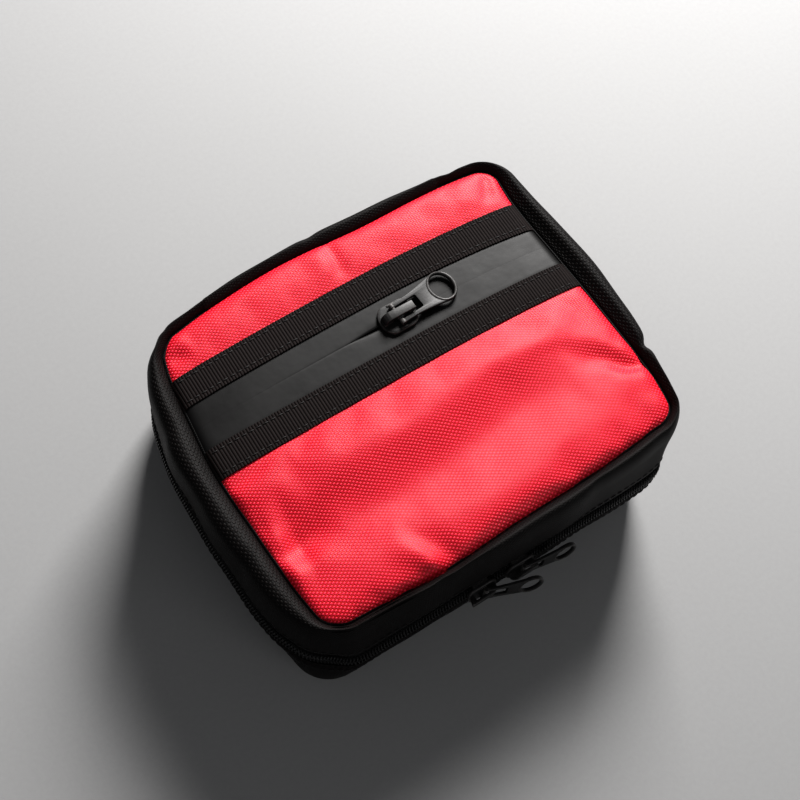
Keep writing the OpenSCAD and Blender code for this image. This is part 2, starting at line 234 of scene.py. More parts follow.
def swept(section, s):
    """Points of a section of (offset, height) rows swept round the crest outline."""
    section = np.asarray(section, float)
    p, n = crest(s)
    size = bulge(s)
    out, up = section[:, 0], section[:, 1]
    w = shares(out, up)
    o = out[None] + size[:, :4] @ w.T
    # cloth stitched to the zip and the floor's edge stay even, and the rest of it waves
    loose = w[:, 1] + 0.6 * w[:, 2] * (np.abs(up - ZIP_Z) > 9) + 0.5 * w[:, 3] * (up > 2)
    o = o + uneven(SHELL_WAVES, s[:, None], up[None]) * loose[None]
    top = up > CROWN_Z
    dip = np.where(top, np.exp(-(((out + 5.7) / 1.7) ** 2)), 0)
    z = up[None] - size[:, 4:5] * dip[None]
    pinch = 0
    for at, wide, deep in PINCHES:
        gap = np.mod(s - at + LOOP / 2, LOOP) - LOOP / 2
        pinch = pinch + deep * np.exp(-((gap / wide) ** 2))
    foot = 46                               # no pinch below this height
    crown = smoothstep(foot, ROLL_Z, up) * smoothstep(-7.4, -4.5, out)
    crown = np.where(up > foot, crown, 0)
    o = o - pinch[:, None] * crown[None]
    z = z - 0.5 * pinch[:, None] * (crown * top)[None, :]
    xy = p[:, None, :] + o[..., None] * n[:, None, :]
    return np.dstack([xy, z])


# ---------------------------------------------------------------- meshes

def link(name, data):
    """A new object in the scene."""
    ob = bpy.data.objects.new(name, data)
    bpy.context.scene.collection.objects.link(ob)
    return ob


def piece(name, verts, faces, uv=None, material=None, slot=None, body=None, smooth=50, flip=True):
    """A mesh object from points in millimetres. uv gives cloth coordinates in millimetres."""
    me = bpy.data.meshes.new(name)
    verts = np.asarray(verts, float).reshape(-1, 3)
    me.from_pydata((verts * MM).tolist(), [], [list(map(int, f)) for f in faces])
    if uv is not None:
        uv = np.asarray(uv, float).reshape(-1, 2)
        layer = me.uv_layers.new(name="cloth")
        index = np.empty(len(me.loops), np.int32)
        me.loops.foreach_get("vertex_index", index)
        layer.data.foreach_set("uv", uv[index].astype(np.float32).ravel())
    me.validate()
    if flip:
        bm = bmesh.new()
        bm.from_mesh(me)
        bmesh.ops.recalc_face_normals(bm, faces=bm.faces)
        bm.to_mesh(me)
        bm.free()
    me.polygons.foreach_set("use_smooth", np.ones(len(me.polygons), bool))
    me.set_sharp_from_angle(angle=math.radians(smooth))
    me.update()
    ob = link(name, me)
    dress(ob, material, body)
    return ob


def dress(ob, material, body=None):
    """Gives an object its material and, if named and the body it rides on."""
    if material:
        ob.data.materials.clear()
        ob.data.materials.append(material)
    if body:
        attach(ob, body)


def unit(v):
    return v / np.maximum(np.linalg.norm(v, axis=-1, keepdims=True), 1e-9)


def normals(p):
    return unit(np.cross(np.gradient(p, axis=0), np.gradient(p, axis=1)))


def facing(p, axis):
    """1 where a grid's normals point up an axis, and -1 where they point down it."""
    return 1 if normals(p)[..., axis].mean() > 0 else -1


def capped(rows, cols):
    """Faces of a closed grid with its two ends filled."""
    last = (rows - 1) * cols
    return quads(rows, cols, True).tolist() + [list(range(cols))[::-1],
                                               [last + j for j in range(cols)]]


def cross_uv(u, v):
    """Cloth coordinates of a grid, from those of its rows and columns."""
    return np.stack(np.broadcast_arrays(u[:, None], v[None, :]), axis=-1)


def quads(rows, cols, closed=False):
    """Faces of a grid of points. A closed one joins its last column to its first."""
    i, j = np.meshgrid(np.arange(rows - 1), np.arange(cols if closed else cols - 1), indexing="ij")
    k = (j + 1) % cols
    corners = [i * cols + j, (i + 1) * cols + j, (i + 1) * cols + k, i * cols + k]
    return np.stack(corners, axis=-1).reshape(-1, 4)


def cloth_solid(p, uv, t, rim=0.42, side=1):
    """A grid of points as cloth of thickness t behind it, with rounded long edges and capped ends.

    Gives points, faces and cloth coordinates. side=-1 turns the grid's normal over.
    """
    n = normals(p) * side
    q = p - n * t
    nu, nv = p.shape[:2]

    def edge(a, b):
        return (p[:, a] + q[:, a]) / 2 + unit(p[:, a] - p[:, b]) * t * rim

    ring = np.concatenate([p, edge(-1, -2)[:, None], q[:, ::-1], edge(0, 1)[:, None]], axis=1)
    ring_uv = np.concatenate([uv, uv[:, -1:], uv[:, ::-1], uv[:, :1]], axis=1)
    m = ring.shape[1]
    faces = quads(nu, m, True).tolist()
    for base in (0, (nu - 1) * m):
        for a in range(nv - 1):
            faces.append([base + a, base + a + 1, base + 2 * nv - 1 - a, base + 2 * nv - a])
        faces.append([base, base + 2 * nv, base + 2 * nv + 1])
        faces.append([base + nv - 1, base + nv, base + nv + 1])
    return ring.reshape(-1, 3), faces, ring_uv.reshape(-1, 2)


def join(parts):
    """Several (points, faces, uv) as one."""
    verts, faces, uvs, base = [], [], [], 0
    for p, f, uv in parts:
        p = np.asarray(p, float).reshape(-1, 3)
        verts.append(p)
        uvs.append(np.asarray(uv, float).reshape(-1, 2) if uv is not None else p[:, :2])
        faces += [[base + int(i) for i in q] for q in f]
        base += len(p)
    return np.concatenate(verts), faces, np.concatenate(uvs)


def tube(path, normal, radius, sides=6):
    """A round thread along a path of points, thinned at its two ends."""
    path = np.asarray(path, float)
    t = np.gradient(path, axis=0)
    t /= np.linalg.norm(t, axis=1, keepdims=True)
    b = np.cross(t, normal)
    b /= np.linalg.norm(b, axis=1, keepdims=True)
    n = np.cross(b, t)
    a = np.arange(sides) * TAU / sides
    r = np.full(len(path), float(radius))
    r[[0, -1]] *= 0.35
    r[[1, -2]] *= 0.8
    spoke = np.cos(a)[None, :, None] * b[:, None] + np.sin(a)[None, :, None] * n[:, None]
    p = (path[:, None] + r[:, None, None] * spoke).reshape(-1, 3)
    return p, capped(len(path), sides), p[:, :2]


def stitches(path, normal, pitch=3.1, length=2.5, radius=0.19, lift=0.06):
    """Separate stitches laid along a path on cloth, each bowed up a little in the middle."""
    path, normal = np.asarray(path, float), np.asarray(normal, float)
    s = lengths(path)

    def at(q, x):
        return np.stack([np.interp(x, s, q[:, c]) for c in range(3)], axis=-1)

    parts = []
    for start in np.arange(pitch * 0.4, s[-1] - pitch, pitch):
        x = start + length * np.array([0, 0.12, 0.5, 0.88, 1])
        n = at(normal, x)
        n /= np.linalg.norm(n, axis=1, keepdims=True)
        up = lift + np.array([-0.16, 0.04, 0.1, 0.04, -0.16])
        parts.append(tube(at(path, x) + n * up[:, None], n, radius))
    return join(parts)


# ---------------------------------------------------------------- materials

class Net:
    """A material and short calls for its nodes."""

    def __init__(self, name, colour, rough=0.6, spec=0.4, metal=0.0, sheen=0.0, coat=0.0,
                 coat_rough=0.2):
        self.mat = bpy.data.materials.new(name)
        self.mat.use_nodes = True
        self.tree = self.mat.node_tree
        self.bsdf = self.tree.nodes["Principled BSDF"]
        look = {
            "Base Color": (*colour, 1), "Roughness": rough, "Specular IOR Level": spec,
            "Metallic": metal, "Sheen Weight": sheen, "Sheen Roughness": 0.4,
            "Sheen Tint": (1, 1, 1, 1), "Coat Weight": coat, "Coat Roughness": coat_rough,
        }
        for key, value in look.items():
            self.bsdf.inputs[key].default_value = value
        self.mat.diffuse_color = (*colour, 1)

    def node(self, kind, sets=None, **links):
        """A shader node. links are sockets by name, or by number as i0, i1 and so on."""
        n = self.tree.nodes.new("ShaderNode" + kind)
        for key, value in (sets or {}).items():
            setattr(n, key, value)
        for key, value in links.items():
            numbered = key[0] == "i" and key[1:].isdigit()
            self.put(n.inputs[int(key[1:]) if numbered else key], value)
        return n

    def put(self, socket, value):
        """Links a socket to a socket, or sets its value."""
        if isinstance(value, bpy.types.NodeSocket):
            self.tree.links.new(value, socket)
        elif isinstance(value, tuple) and len(value) == 3 and socket.type == "RGBA":
            socket.default_value = (*value, 1)
        else:
            socket.default_value = value

    def m(self, op, a, b=0.0, c=0.0, clamp=False):
        """A sum of one, two or three values."""
        n = self.node("Math", dict(operation=op, use_clamp=clamp), i0=a, i1=b)
        if op == "MULTIPLY_ADD":
            self.put(n.inputs[2], c)
        return n.outputs[0]

    def cloth(self):
        """Cloth coordinates in millimetres, as (vector, u, v)."""
        uv = self.node("UVMap", dict(uv_map="cloth")).outputs[0]
        xyz = self.node("SeparateXYZ", i0=uv)
        return uv, xyz.outputs[0], xyz.outputs[1]

    def space(self):
        """Object coordinates in millimetres."""
        co = self.node("TexCoord").outputs["Object"]
        scale = self.node("VectorMath", dict(operation="SCALE"), i0=co, Scale=1000.0)
        return scale.outputs[0]

    def noise(self, vector, scale, detail=2.0, rough=0.5, warp=0.0):
        return self.node("TexNoise", i0=vector, Scale=scale, Detail=detail, Roughness=rough,
                         Distortion=warp).outputs["Fac"]

    def grey(self, fac, lo, hi, a=0.0, b=1.0):
        """fac from a to b stretched to go from lo to hi, and held there beyond them."""
        return self.node("MapRange", i0=fac, i1=a, i2=b, i3=lo, i4=hi).outputs[0]

    def mix(self, fac, a, b):
        return self.node("Mix", dict(data_type="RGBA"), i0=fac, i6=a, i7=b).outputs[2]

    def bump(self, height, depth_mm, strength=1.0, after=None):
        """Relief from a height, on top of another relief if one is given."""
        n = self.node("Bump", Height=height, Distance=depth_mm * MM, Strength=strength)
        if after is not None:
            self.put(n.inputs["Normal"], after)
        return n.outputs[0]

    def out(self, colour=None, rough=None, normal=None):
        """Links what is given to the shader, and gives the finished material."""
        for key, value in (("Base Color", colour), ("Roughness", rough), ("Normal", normal)):
            if value is not None:
                self.put(self.bsdf.inputs[key], value)
        return self.mat


def weave(name, dark, light, pitch, depth=0.16, rough=(0.6, 0.8), cloud=0.12, dust=0.0, **look):
    """Plain woven cloth: crossings in a checker, where each thread in turn lies over the other. Its
    colour carries painted light: paler on the crowns of the threads lying over (painted highlight),
    darker on the threads lying under and in the gaps (painted shade), over random mottle and, if
    asked, dust specks.
    """
    w = Net(name, light, **look)
    uv, u, v = w.cloth()
    wander = w.noise(uv, 0.11, 1.0)
    su = w.m("SINE", w.m("MULTIPLY", w.m("MULTIPLY_ADD", wander, 0.5, u), math.pi / pitch[0]))
    sv = w.m("SINE", w.m("MULTIPLY", w.m("MULTIPLY_ADD", wander, 0.4, v), math.pi / pitch[1]))
    cross = w.m("MULTIPLY", su, sv)
    a, b = w.m("ABSOLUTE", su), w.m("ABSOLUTE", sv)
    warp_over = w.m("MULTIPLY", w.m("POWER", a, 0.75), w.m("POWER", b, 0.3))
    weft_over = w.m("MULTIPLY", w.m("POWER", a, 0.3), w.m("POWER", b, 0.75))
    side = w.m("GREATER_THAN", cross, 0.0)
    size = w.m("MULTIPLY_ADD", side, w.m("SUBTRACT", warp_over, weft_over), weft_over)
    fibre = w.noise(uv, 5.5, 2.0, 0.7)
    soft = dict(interpolation_type="SMOOTHSTEP")
    over = w.node("MapRange", soft, i0=cross, i1=-0.35, i2=0.6).outputs[0]
    high = w.m("MULTIPLY_ADD", over, 0.85, w.m("MULTIPLY", size, 0.35))
    high = w.m("MULTIPLY_ADD", fibre, 0.14, high)
    mottle = w.m("MULTIPLY_ADD", fibre, 0.3, -0.15 - cloud)
    mottle = w.m("MULTIPLY_ADD", w.noise(uv, 0.05, 3.0), cloud * 2, mottle)
    # painted highlight and painted shade: tone is high on the crown of a thread lying over, and low
    # on one lying under and in the gaps
    tone = w.m("MULTIPLY_ADD", over, w.grey(size, 0.6, 1.0), mottle, clamp=True)
    mixed = w.mix(tone, dark, light)
    if dust:
        specks = w.grey(w.noise(uv, 0.55, 4.0, 0.75), 0.0, dust, 0.66, 0.8)
        mixed = w.mix(specks, mixed, (0.35, 0.33, 0.32))
    normal = w.bump(high, depth)
    normal = w.bump(w.noise(uv, 0.16, 2.0), 0.5, 0.35, normal)
    return w.out(mixed, w.grey(fibre, rough[0], rough[1]), normal)


def ribbed(name, dark, light, pitch, depth=0.2, rough=(0.55, 0.75), across=0.45, **look):
    """Ribbed ribbon: cords across it, bound by fine threads along it. Its colour is painted lighter
    on the crowns of the cords (painted highlight) and darker between them (painted shade), with
    random fibre mottle.
    """
    w = Net(name, light, **look)
    uv, u, v = w.cloth()
    rib = w.m("ABSOLUTE", w.m("SINE", w.m("MULTIPLY", u, math.pi / pitch)))
    thread = w.m("SINE", w.m("MULTIPLY", v, TAU / across))
    fibre = w.noise(uv, 4.5, 2.0, 0.7)
    high = w.m("MULTIPLY_ADD", fibre, 0.2, w.m("POWER", rib, 0.6))
    high = w.m("MULTIPLY_ADD", thread, 0.12, high)
    # painted highlight and painted shade: tone follows the cord's height, lit on the crowns and
    # shaded in the hollows
    tone = w.m("MULTIPLY_ADD", fibre, 0.4, w.m("MULTIPLY_ADD", rib, 0.75, -0.15), clamp=True)
    return w.out(w.mix(tone, dark, light), w.grey(fibre, rough[0], rough[1]), w.bump(high, depth))


def plain(name, colour, rough, grain=0.9, depth=0.03, tone=0.12, edge_glint=None, **look):
    """Solid finish in object space: fine grain, slow unevenness, and if asked paler edges in
    patches, a painted highlight.
    """
    w = Net(name, colour, **look)
    at = w.space()
    fine, slow = w.noise(at, grain, 4.0, 0.6), w.noise(at, 0.02, 2.0)
    dark = tuple(c * (1 - tone) for c in colour)
    light = tuple(min(1, c * (1 + tone)) for c in colour)
    mixed = w.mix(w.m("MULTIPLY_ADD", fine, 0.5, w.m("MULTIPLY", slow, 0.5)), dark, light)
    if edge_glint:
        # painted highlight: convex edges are painted paler in patches, standing in for light caught
        # on them
        edge = w.node("NewGeometry").outputs["Pointiness"]
        patchy = w.grey(w.noise(at, 1.6, 3.0), 0.2, 1.0, 0.35, 0.6)
        mixed = w.mix(w.m("MULTIPLY", w.grey(edge, 0.0, 1.0, 0.52, 0.62), patchy), mixed, edge_glint)
    return w.out(mixed, w.grey(fine, rough[0], rough[1]), w.bump(fine, depth))


CORDURA = (1.045, 0.714)                    # thread spacing across and along the shell cloth
# The woven cloths' dark and light colours are their threads' painted shade and painted highlight.
RED = weave("red_cordura", (0.50, 0.0002, 0.004), (1.0, 0.028, 0.080), CORDURA, depth=0.21,
            rough=(0.43, 0.55), cloud=0.04, spec=0.38)
BLACK = weave("black_cordura", (0.0014, 0.0010, 0.0010), (0.0058, 0.0041, 0.0039), CORDURA,
              depth=0.14, rough=(0.46, 0.62), dust=0.05, spec=0.12)
RIB = 1.18                                  # spacing of the ribbons' ribs
# The ribbed tapes' dark and light colours are painted shade between the cords and painted highlight
# on them.
GROSGRAIN = ribbed("grosgrain", (0.0006, 0.0004, 0.0004), (0.0132, 0.0080, 0.0076), RIB, spec=0.11)
BINDING = ribbed("binding_tape", (0.002,) * 3, (0.012, 0.0115, 0.0115), 0.9, spec=0.25, sheen=0.03)
ZIP_TAPE = ribbed("zip_tape", (0.002,) * 3, (0.011, 0.011, 0.0115), 0.62, depth=0.12, across=0.62,
                  spec=0.25, sheen=0.02)
# The lining's dark and light colours are also painted shade and painted highlight of its threads.
LINING = weave("lining_cloth", (0.03, 0.031, 0.036), (0.085, 0.088, 0.1), (0.5, 0.42), depth=0.08,
               rough=(0.5, 0.65), cloud=0.1, spec=0.4, sheen=0.08)
THREAD = plain("thread", (0.009, 0.0085, 0.0085), (0.5, 0.7), grain=4.0, depth=0.04, tone=0.4,
               spec=0.3, sheen=0.04)
COIL = plain("zip_coil", (0.006, 0.006, 0.0065), (0.3, 0.42), grain=2.2, depth=0.02, tone=0.3,
             spec=0.4)
# The metal's paler edges are a painted highlight.
METAL = plain("black_metal", (0.0046, 0.0043, 0.0044), (0.42, 0.56), grain=1.4, depth=0.035,
              tone=0.3, edge_glint=(0.15, 0.14, 0.135), spec=0.34, coat=0.05, coat_rough=0.25)
STEEL = plain("steel", (0.56, 0.57, 0.58), (0.2, 0.34), grain=1.6, depth=0.01, tone=0.05, metal=1.0)
SPOOL = plain("white_plastic", (0.78, 0.78, 0.76), (0.3, 0.42), grain=1.2, depth=0.01, tone=0.04)


def laminate():
    """Smooth matte film over the pocket zip's tapes, faintly uneven."""
    w = Net("laminated_tape", (0.01, 0.01, 0.01), spec=0.23)
    uv = w.cloth()[0]
    slow, fine = w.noise(uv, 0.06, 3.0, 0.6), w.noise(uv, 2.6, 3.0, 0.6)
    tone = w.m("MULTIPLY_ADD", fine, 0.35, w.m("MULTIPLY", slow, 0.65))
    specks = w.grey(w.noise(uv, 0.8, 4.0, 0.8), 0.0, 0.12, 0.68, 0.8)
    mixed = w.mix(tone, (0.0042, 0.0040, 0.0040), (0.0084, 0.0081, 0.0081))
    mixed = w.mix(specks, mixed, (0.16, 0.16, 0.16))
    normal = w.bump(fine, 0.018, 0.6)
    normal = w.bump(slow, 0.5, 0.35, normal)
    return w.out(mixed, w.grey(tone, 0.40, 0.54, 0.3, 0.7), normal)


LAMINATE = laminate()


def floor_paper():
    """Pale matt paper under the pouch."""
    w = Net("floor_paper", (0.8, 0.8, 0.8), rough=0.85, spec=0.2)
    at = w.space()
    grain = w.noise(at, 0.5, 5.0, 0.6)
    mixed = w.mix(grain, (0.300, 0.300, 0.302), (0.334, 0.334, 0.336))
    return w.out(mixed, None, w.bump(grain, 0.03))


# ---------------------------------------------------------------- the shell

def path_s(a, b, step):
    """Lengths along the crest from a to b, past the start of the outline if need be."""
    if b <= a:
        b += LOOP
    return np.linspace(a, b, int(round((b - a) / step)) + 1)


def ring_path(step, gap=0.001):
    """Lengths all the way round, from the middle of the rear back to just short of it."""
    return path_s(rear_s(0.0), rear_s(gap), step)


OPEN_PATH = path_s(rear_s(0.4 - HINGE_HALF), rear_s(HINGE_HALF - 0.4), 1.25)

LID_SECTION = [
    (-7.9, 64.0), (-7.2, 64.9), (-6.7, 66.4), (-5.6, 67.7), (-3.7, 68.3), (-1.7, 67.7),
    (-0.1, 65.6), (0.85, 61.5), (1.25, 55.5), (1.15, 49.5), (0.98, 45.5), (0.86, 43.9),
]
BASE_SECTION = [
    (2.12, 30.4), (2.4, 27), (2.6, 21.5), (2.3, 15), (1.5, 8.5), (0.3, 3.6), (-1.5, 1.0),
    (-4.4, 0.05),
]


def band(name, section, s, t, material, slot, body, node, u0=0.0, side=None):
    """A band of cloth swept along the outline. Gives its grid of outer points and its normals."""
    p = swept(section, s)
    if side is None:
        side = 1 if np.mean(normals(p)[..., :2] * crest(s)[1][:, None]) > 0 else -1
    uv = cross_uv(s - s[0] + u0, lengths(section))
    ob = piece(name, *cloth_solid(p, uv, t, side=side), material=material, slot=slot, body=body)
    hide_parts(node)
    return p, normals(p) * side


LID_P, LID_N = band("lid_gusset_shell", resample(LID_SECTION, 34), OPEN_PATH, SHELL_T, BLACK,
                    "shell_fabric", "lid", "lid_gusset")
BASE_P, BASE_N = band("base_gusset_shell", resample(BASE_SECTION, 26), OPEN_PATH, SHELL_T, BLACK,
                      "shell_fabric", "base", "base_gusset", u0=0.4)


def on_shell(p, n, back_from_edge, end):
    """A line on a shell grid and its normals, a distance in from its last (end=-1) or first row."""
    d = lengths(p[len(p) // 2])
    at = d[-1] - back_from_edge if end == -1 else back_from_edge
    j = int(np.clip(np.searchsorted(d, at) - 1, 0, len(d) - 2))
    f = (at - d[j]) / (d[j + 1] - d[j])
    return p[:, j] * (1 - f) + p[:, j + 1] * f, n[:, j] * (1 - f) + n[:, j + 1] * f


for name, p, n, end, body in (("lid_hem_stitches", LID_P, LID_N, -1, "lid"),
                              ("base_hem_stitches", BASE_P, BASE_N, 0, "base")):
    piece(name, *stitches(*on_shell(p, n, 2.1, end)), material=THREAD, slot="binding", body=body,
          flip=False)


def hinge_panel():
    """One panel across the rear, folded on itself along the hinge line."""
    section = resample([
        (-4.4, 0.05), (-1.5, 1.0), (0.3, 3.6), (1.6, 8.5), (2.5, 15), (2.95, 22), (2.95, 29),
        (2.85, 33.5), (2.55, 36.2), (2.3, 37.0), (2.55, 37.8), (2.85, 40.5), (2.75, 46),
        (2.3, 53), (1.3, 60), (-0.1, 65.4), (-1.7, 67.6), (-3.7, 68.15), (-5.7, 67.6),
        (-6.9, 66.5), (-7.35, 65.3), (-7.9, 64.6),
    ], 92)
    reach = HINGE_HALF + 2.2                # the panel laps over the shell on both sides
    lift, bend = 0.45, 3.2                  # clear of the shell, and half the height that bends
    x = np.linspace(reach, -reach, 74)
    p = swept(section, rear_s(x))
    height = section[:, 1]
    edge = smoothstep(0, 1.1, np.minimum(x + reach, reach - x))
    n = normals(p)
    side = facing(p, 1)
    wall = smoothstep(1.0, 6.0, height)
    p = p + n * side * (lift * (0.25 + 0.75 * edge)[:, None, None] * wall[None, :, None])
    uv = cross_uv(x, lengths(section))
    ob = piece("hinge_panel", *cloth_solid(p, uv, SHELL_T, side=side), material=BLACK,
               slot="shell_fabric")
    n = normals(p) * side
    lines = {}
    for name, at_z, body in (("lower", 33.2, "base"), ("upper", 40.8, "lid")):
        j = int(np.argmin(np.abs(height - at_z)))
        lines[f"hinge_stitches_{name}"] = (p[3:-3, j], n[3:-3, j], body)
    # the side rows stop short of the sliders' way round the lid when it is folded back
    for name, z0, z1, body in (("lower", 2.5, 30.5, "base"), ("upper", 43.5, 64, "lid")):
        rows = np.flatnonzero((height > z0) & (height < z1))
        for tag, i in (("right", 2), ("left", -3)):
            lines[f"hinge_side_stitches_{name}_{tag}"] = (p[i, rows], n[i, rows], body)
    for name, (line, up, body) in lines.items():
        piece(name, *stitches(line, up), material=THREAD, slot="binding", body=body, flip=False)
    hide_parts("hinge_panel_lower", "hinge_panel_upper")
    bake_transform(ob)


hinge_panel()

ZIP_PATH = path_s(rear_s(-HINGE_HALF - 0.2), rear_s(HINGE_HALF + 0.2), 1.4)
for body, rows in (("lid", [(0.2, -0.02), (3, 0), (6, 0), (9.4, -0.1)]),
                   ("base", [(-9.4, -0.1), (-6, 0), (-3, 0), (-0.2, -0.02)])):
    band(f"{body}_zip_tape_cloth", resample([zip_pt(v, w) for v, w in rows], 12), ZIP_PATH, 0.6,
         ZIP_TAPE, "zip_tape", body, f"{body}_zip_tape")


def coil_teeth(name, k, body, node):
    """A continuous nylon spiral sewn on the main zip's tape, k = 1 above the line and -1 below."""
    pitch, turn_points, sides = COIL_PITCH, 10, 5
    s0, s1 = ZIP_PATH[0] + 1, ZIP_PATH[-1] - 1
    turns = int((s1 - s0) / pitch)
    a = np.arange(turns * turn_points + 1) * TAU / turn_points
    s = s0 + (a / TAU + (0.5 if k < 0 else 0)) * pitch
    o, z = zip_pt(k * (1.52 - 1.3 * np.cos(a)), 0.86 + 0.62 * np.sin(a))
    p, n = crest(s)
    o = o + (bulge(s)[:, :4] * shares(o, z)).sum(axis=1)
    path = np.concatenate([p + o[:, None] * n, z[:, None]], axis=1)
    up = np.concatenate([n, np.zeros((len(n), 1))], axis=1)
    ob = piece(name, *tube(path, up, 0.3, sides), material=COIL, slot="zip_coil", body=body,
               flip=False)
    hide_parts(node)


coil_teeth("lid_zip_teeth", 1, "lid", "lid_zip_coil")
coil_teeth("base_zip_teeth", -1, "base", "base_zip_coil")


# ---------------------------------------------------------------- the face

def seam_point(s):
    """The face seam in plan."""
    s = np.asarray(s, float)
    p, n = crest(s)
    return p + (SEAM_O + bulge(s)[:, 0])[:, None] * n


SEAM_AT = np.linspace(0, LOOP, 900, endpoint=False)
SEAM, SEAM_DIP = seam_point(SEAM_AT), bulge(SEAM_AT)[:, 4]


def seam_near(x, y):
    """Distance to the face seam, and how deep the shell's trough is there."""
    p = np.stack([x.ravel(), y.ravel()], axis=1)
    far, dip = np.empty(len(p)), np.empty(len(p))
    step = 4000                             # points at a time, to keep the table of distances small
    for a in range(0, len(p), step):
        r = ((p[a:a + step, None] - SEAM[None]) ** 2).sum(-1)
        k = r.argmin(1)
        far[a:a + step] = np.sqrt(r[np.arange(len(k)), k])
        dip[a:a + step] = SEAM_DIP[k]
    return far.reshape(x.shape), dip.reshape(x.shape)


def bow(x, left, middle, right):
    """An edge across the face that passes through three heights, level at the slider."""
    x0, reach_left, reach_right = 7.0, 85, 67
    return middle + np.where(x < x0, (left - middle) * ((x0 - x) / reach_left) ** 2,
                             (right - middle) * ((x - x0) / reach_right) ** 2)


def edge_a(x): return bow(x, 45.2, 47.3, 44.2)     # upper ribbon's rear edge
def edge_b(x): return bow(x, 33.6, 35.4, 31.4)     # upper ribbon's zip edge
def edge_c(x): return bow(x, 15.6, 15.6, 13.4)     # lower ribbon's zip edge
def edge_d(x): return bow(x, 3.9, 4.5, 2.5)        # lower ribbon's front edge
def edge_m(x): return bow(x, 24.6, 25.5, 22.4)     # the pocket zip's centre line


# Creases and soft ridges of the face: points of a line, height, half width at its start and
# end, and how far along it fades in and out.
FOLDS = [
    ([(62, -24), (50, -26), (30, -28), (0, -31), (-20, -32), (-45, -32), (-76, -30)],
     -2.45, 7.5, 9.0, 0.3, 0.06),
    ([(66, -55), (20, -56), (-20, -56), (-66, -56)], 0.7, 7.0, 7.0, 0.1, 0.1),
    ([(68, -7), (20, -10), (-20, -11), (-60, -10)], 0.9, 6.0, 6.0, 0.1, 0.15),
    ([(-80, 1), (-70, 1.5), (-60, 3)], -0.6, 2.2, 3.5, 0.0, 0.6),
    ([(-79, -6), (-68, -7), (-56, -8)], 0.5, 3.0, 4.5, 0.0, 0.6),
    ([(-79, -19), (-70, -20), (-60, -21)], -0.35, 2.5, 4.0, 0.0, 0.5),
    ([(-78, -31), (-70, -30.5), (-60, -29), (-50, -29)], -1.0, 2.8, 4.5, 0.0, 0.5),
    ([(-77, -40), (-66, -39), (-54, -39)], 0.7, 3.0, 4.5, 0.0, 0.5),
    ([(-33, -66), (-35, -58), (-40, -50), (-46, -44)], 1.0, 2.2, 4.0, 0.0, 0.6),
    ([(-26, -66), (-28, -58), (-33, -50), (-38, -42)], -1.0, 2.6, 5.0, 0.0, 0.6),
    ([(77, -37), (70, -34.5), (64, -28), (56, -24), (48, -24)], -1.3, 1.6, 4.5, 0.0, 0.5),
    ([(78, -29), (70, -27), (62, -17), (52, -13)], 0.6, 2.6, 4.5, 0.0, 0.5),
    ([(77, -43), (68, -41), (56, -38)], 0.8, 3.0, 5.0, 0.0, 0.5),
    ([(0.5, 67), (0, 58), (-1, 52), (-3, 47)], -0.6, 1.6, 2.6, 0.0, 0.35),
    ([(-6, 67), (-6, 58), (-7, 49)], 0.4, 3.0, 4.0, 0.0, 0.4),
    ([(-76, 55), (-71, 53), (-64, 53)], -0.9, 1.8, 3.0, 0.0, 0.5),
    ([(-74, 60), (-69, 58), (-62, 58)], 0.4, 2.4, 3.4, 0.0, 0.5),
    ([(70, 59), (67, 54), (66, 47)], -0.7, 1.8, 3.0, 0.0, 0.5),
    ([(60, 62), (58, 55), (56, 48)], 0.4, 3.0, 4.5, 0.0, 0.5),
    ([(76, -52), (70, -52), (60, -50)], 0.4, 2.4, 4.0, 0.0, 0.6),
    ([(30, -66), (28, -58), (24, -50)], -0.35, 2.6, 4.0, 0.0, 0.6),
    ([(52, -62), (50, -55), (48, -48)], -0.3, 2.6, 4.0, 0.0, 0.6),
    ([(-58, -66), (-56, -58), (-54, -50)], -0.35, 2.6, 4.0, 0.0, 0.6),
]
FACE_WAVES = waves(5, 10, (14, 34), 0.13)


def fold(x, y, line, size, w0, w1, fade_in, fade_out):
    """Height of one crease or ridge: a bell across it, fading at its ends."""
    line = resample(line, 24)
    best, along = np.full(x.shape, 1e9), np.zeros(x.shape)
    for i in range(len(line) - 1):
        a, b = line[i], line[i + 1]
        d = b - a
        t = np.clip(((x - a[0]) * d[0] + (y - a[1]) * d[1]) / (d @ d), 0, 1)
        r = (x - a[0] - t * d[0]) ** 2 + (y - a[1] - t * d[1]) ** 2
        near = r < best
        best = np.where(near, r, best)
        along = np.where(near, (i + t) / (len(line) - 1), along)
    width = w0 + (w1 - w0) * along
    fade = smoothstep(1, 1 - fade_out, along)
    if fade_in:
        fade = smoothstep(0, fade_in, along) * fade
    return size * fade * np.exp(-best / (2 * width * width))


def rise(x, length, power):
    """Grows from 0 at x = 0 towards 1 past the given length."""
    return 1 - np.exp(-((x / length) ** power))


def strip_height(near):
    """The taut band of zip and ribbons, turned down into the seam at its ends."""
    d, dip = near
    tuck = 1.3 * np.exp(-((d / 1.3) ** 1.4))
    slope = 0.5 * np.exp(-d / 5.0)
    sag = 0.7 * np.exp(-((d / 14.0) ** 1.6))
    return FACE_TOP - tuck - slope - sag - 0.75 * dip * np.exp(-((d / 2.2) ** 1.5))


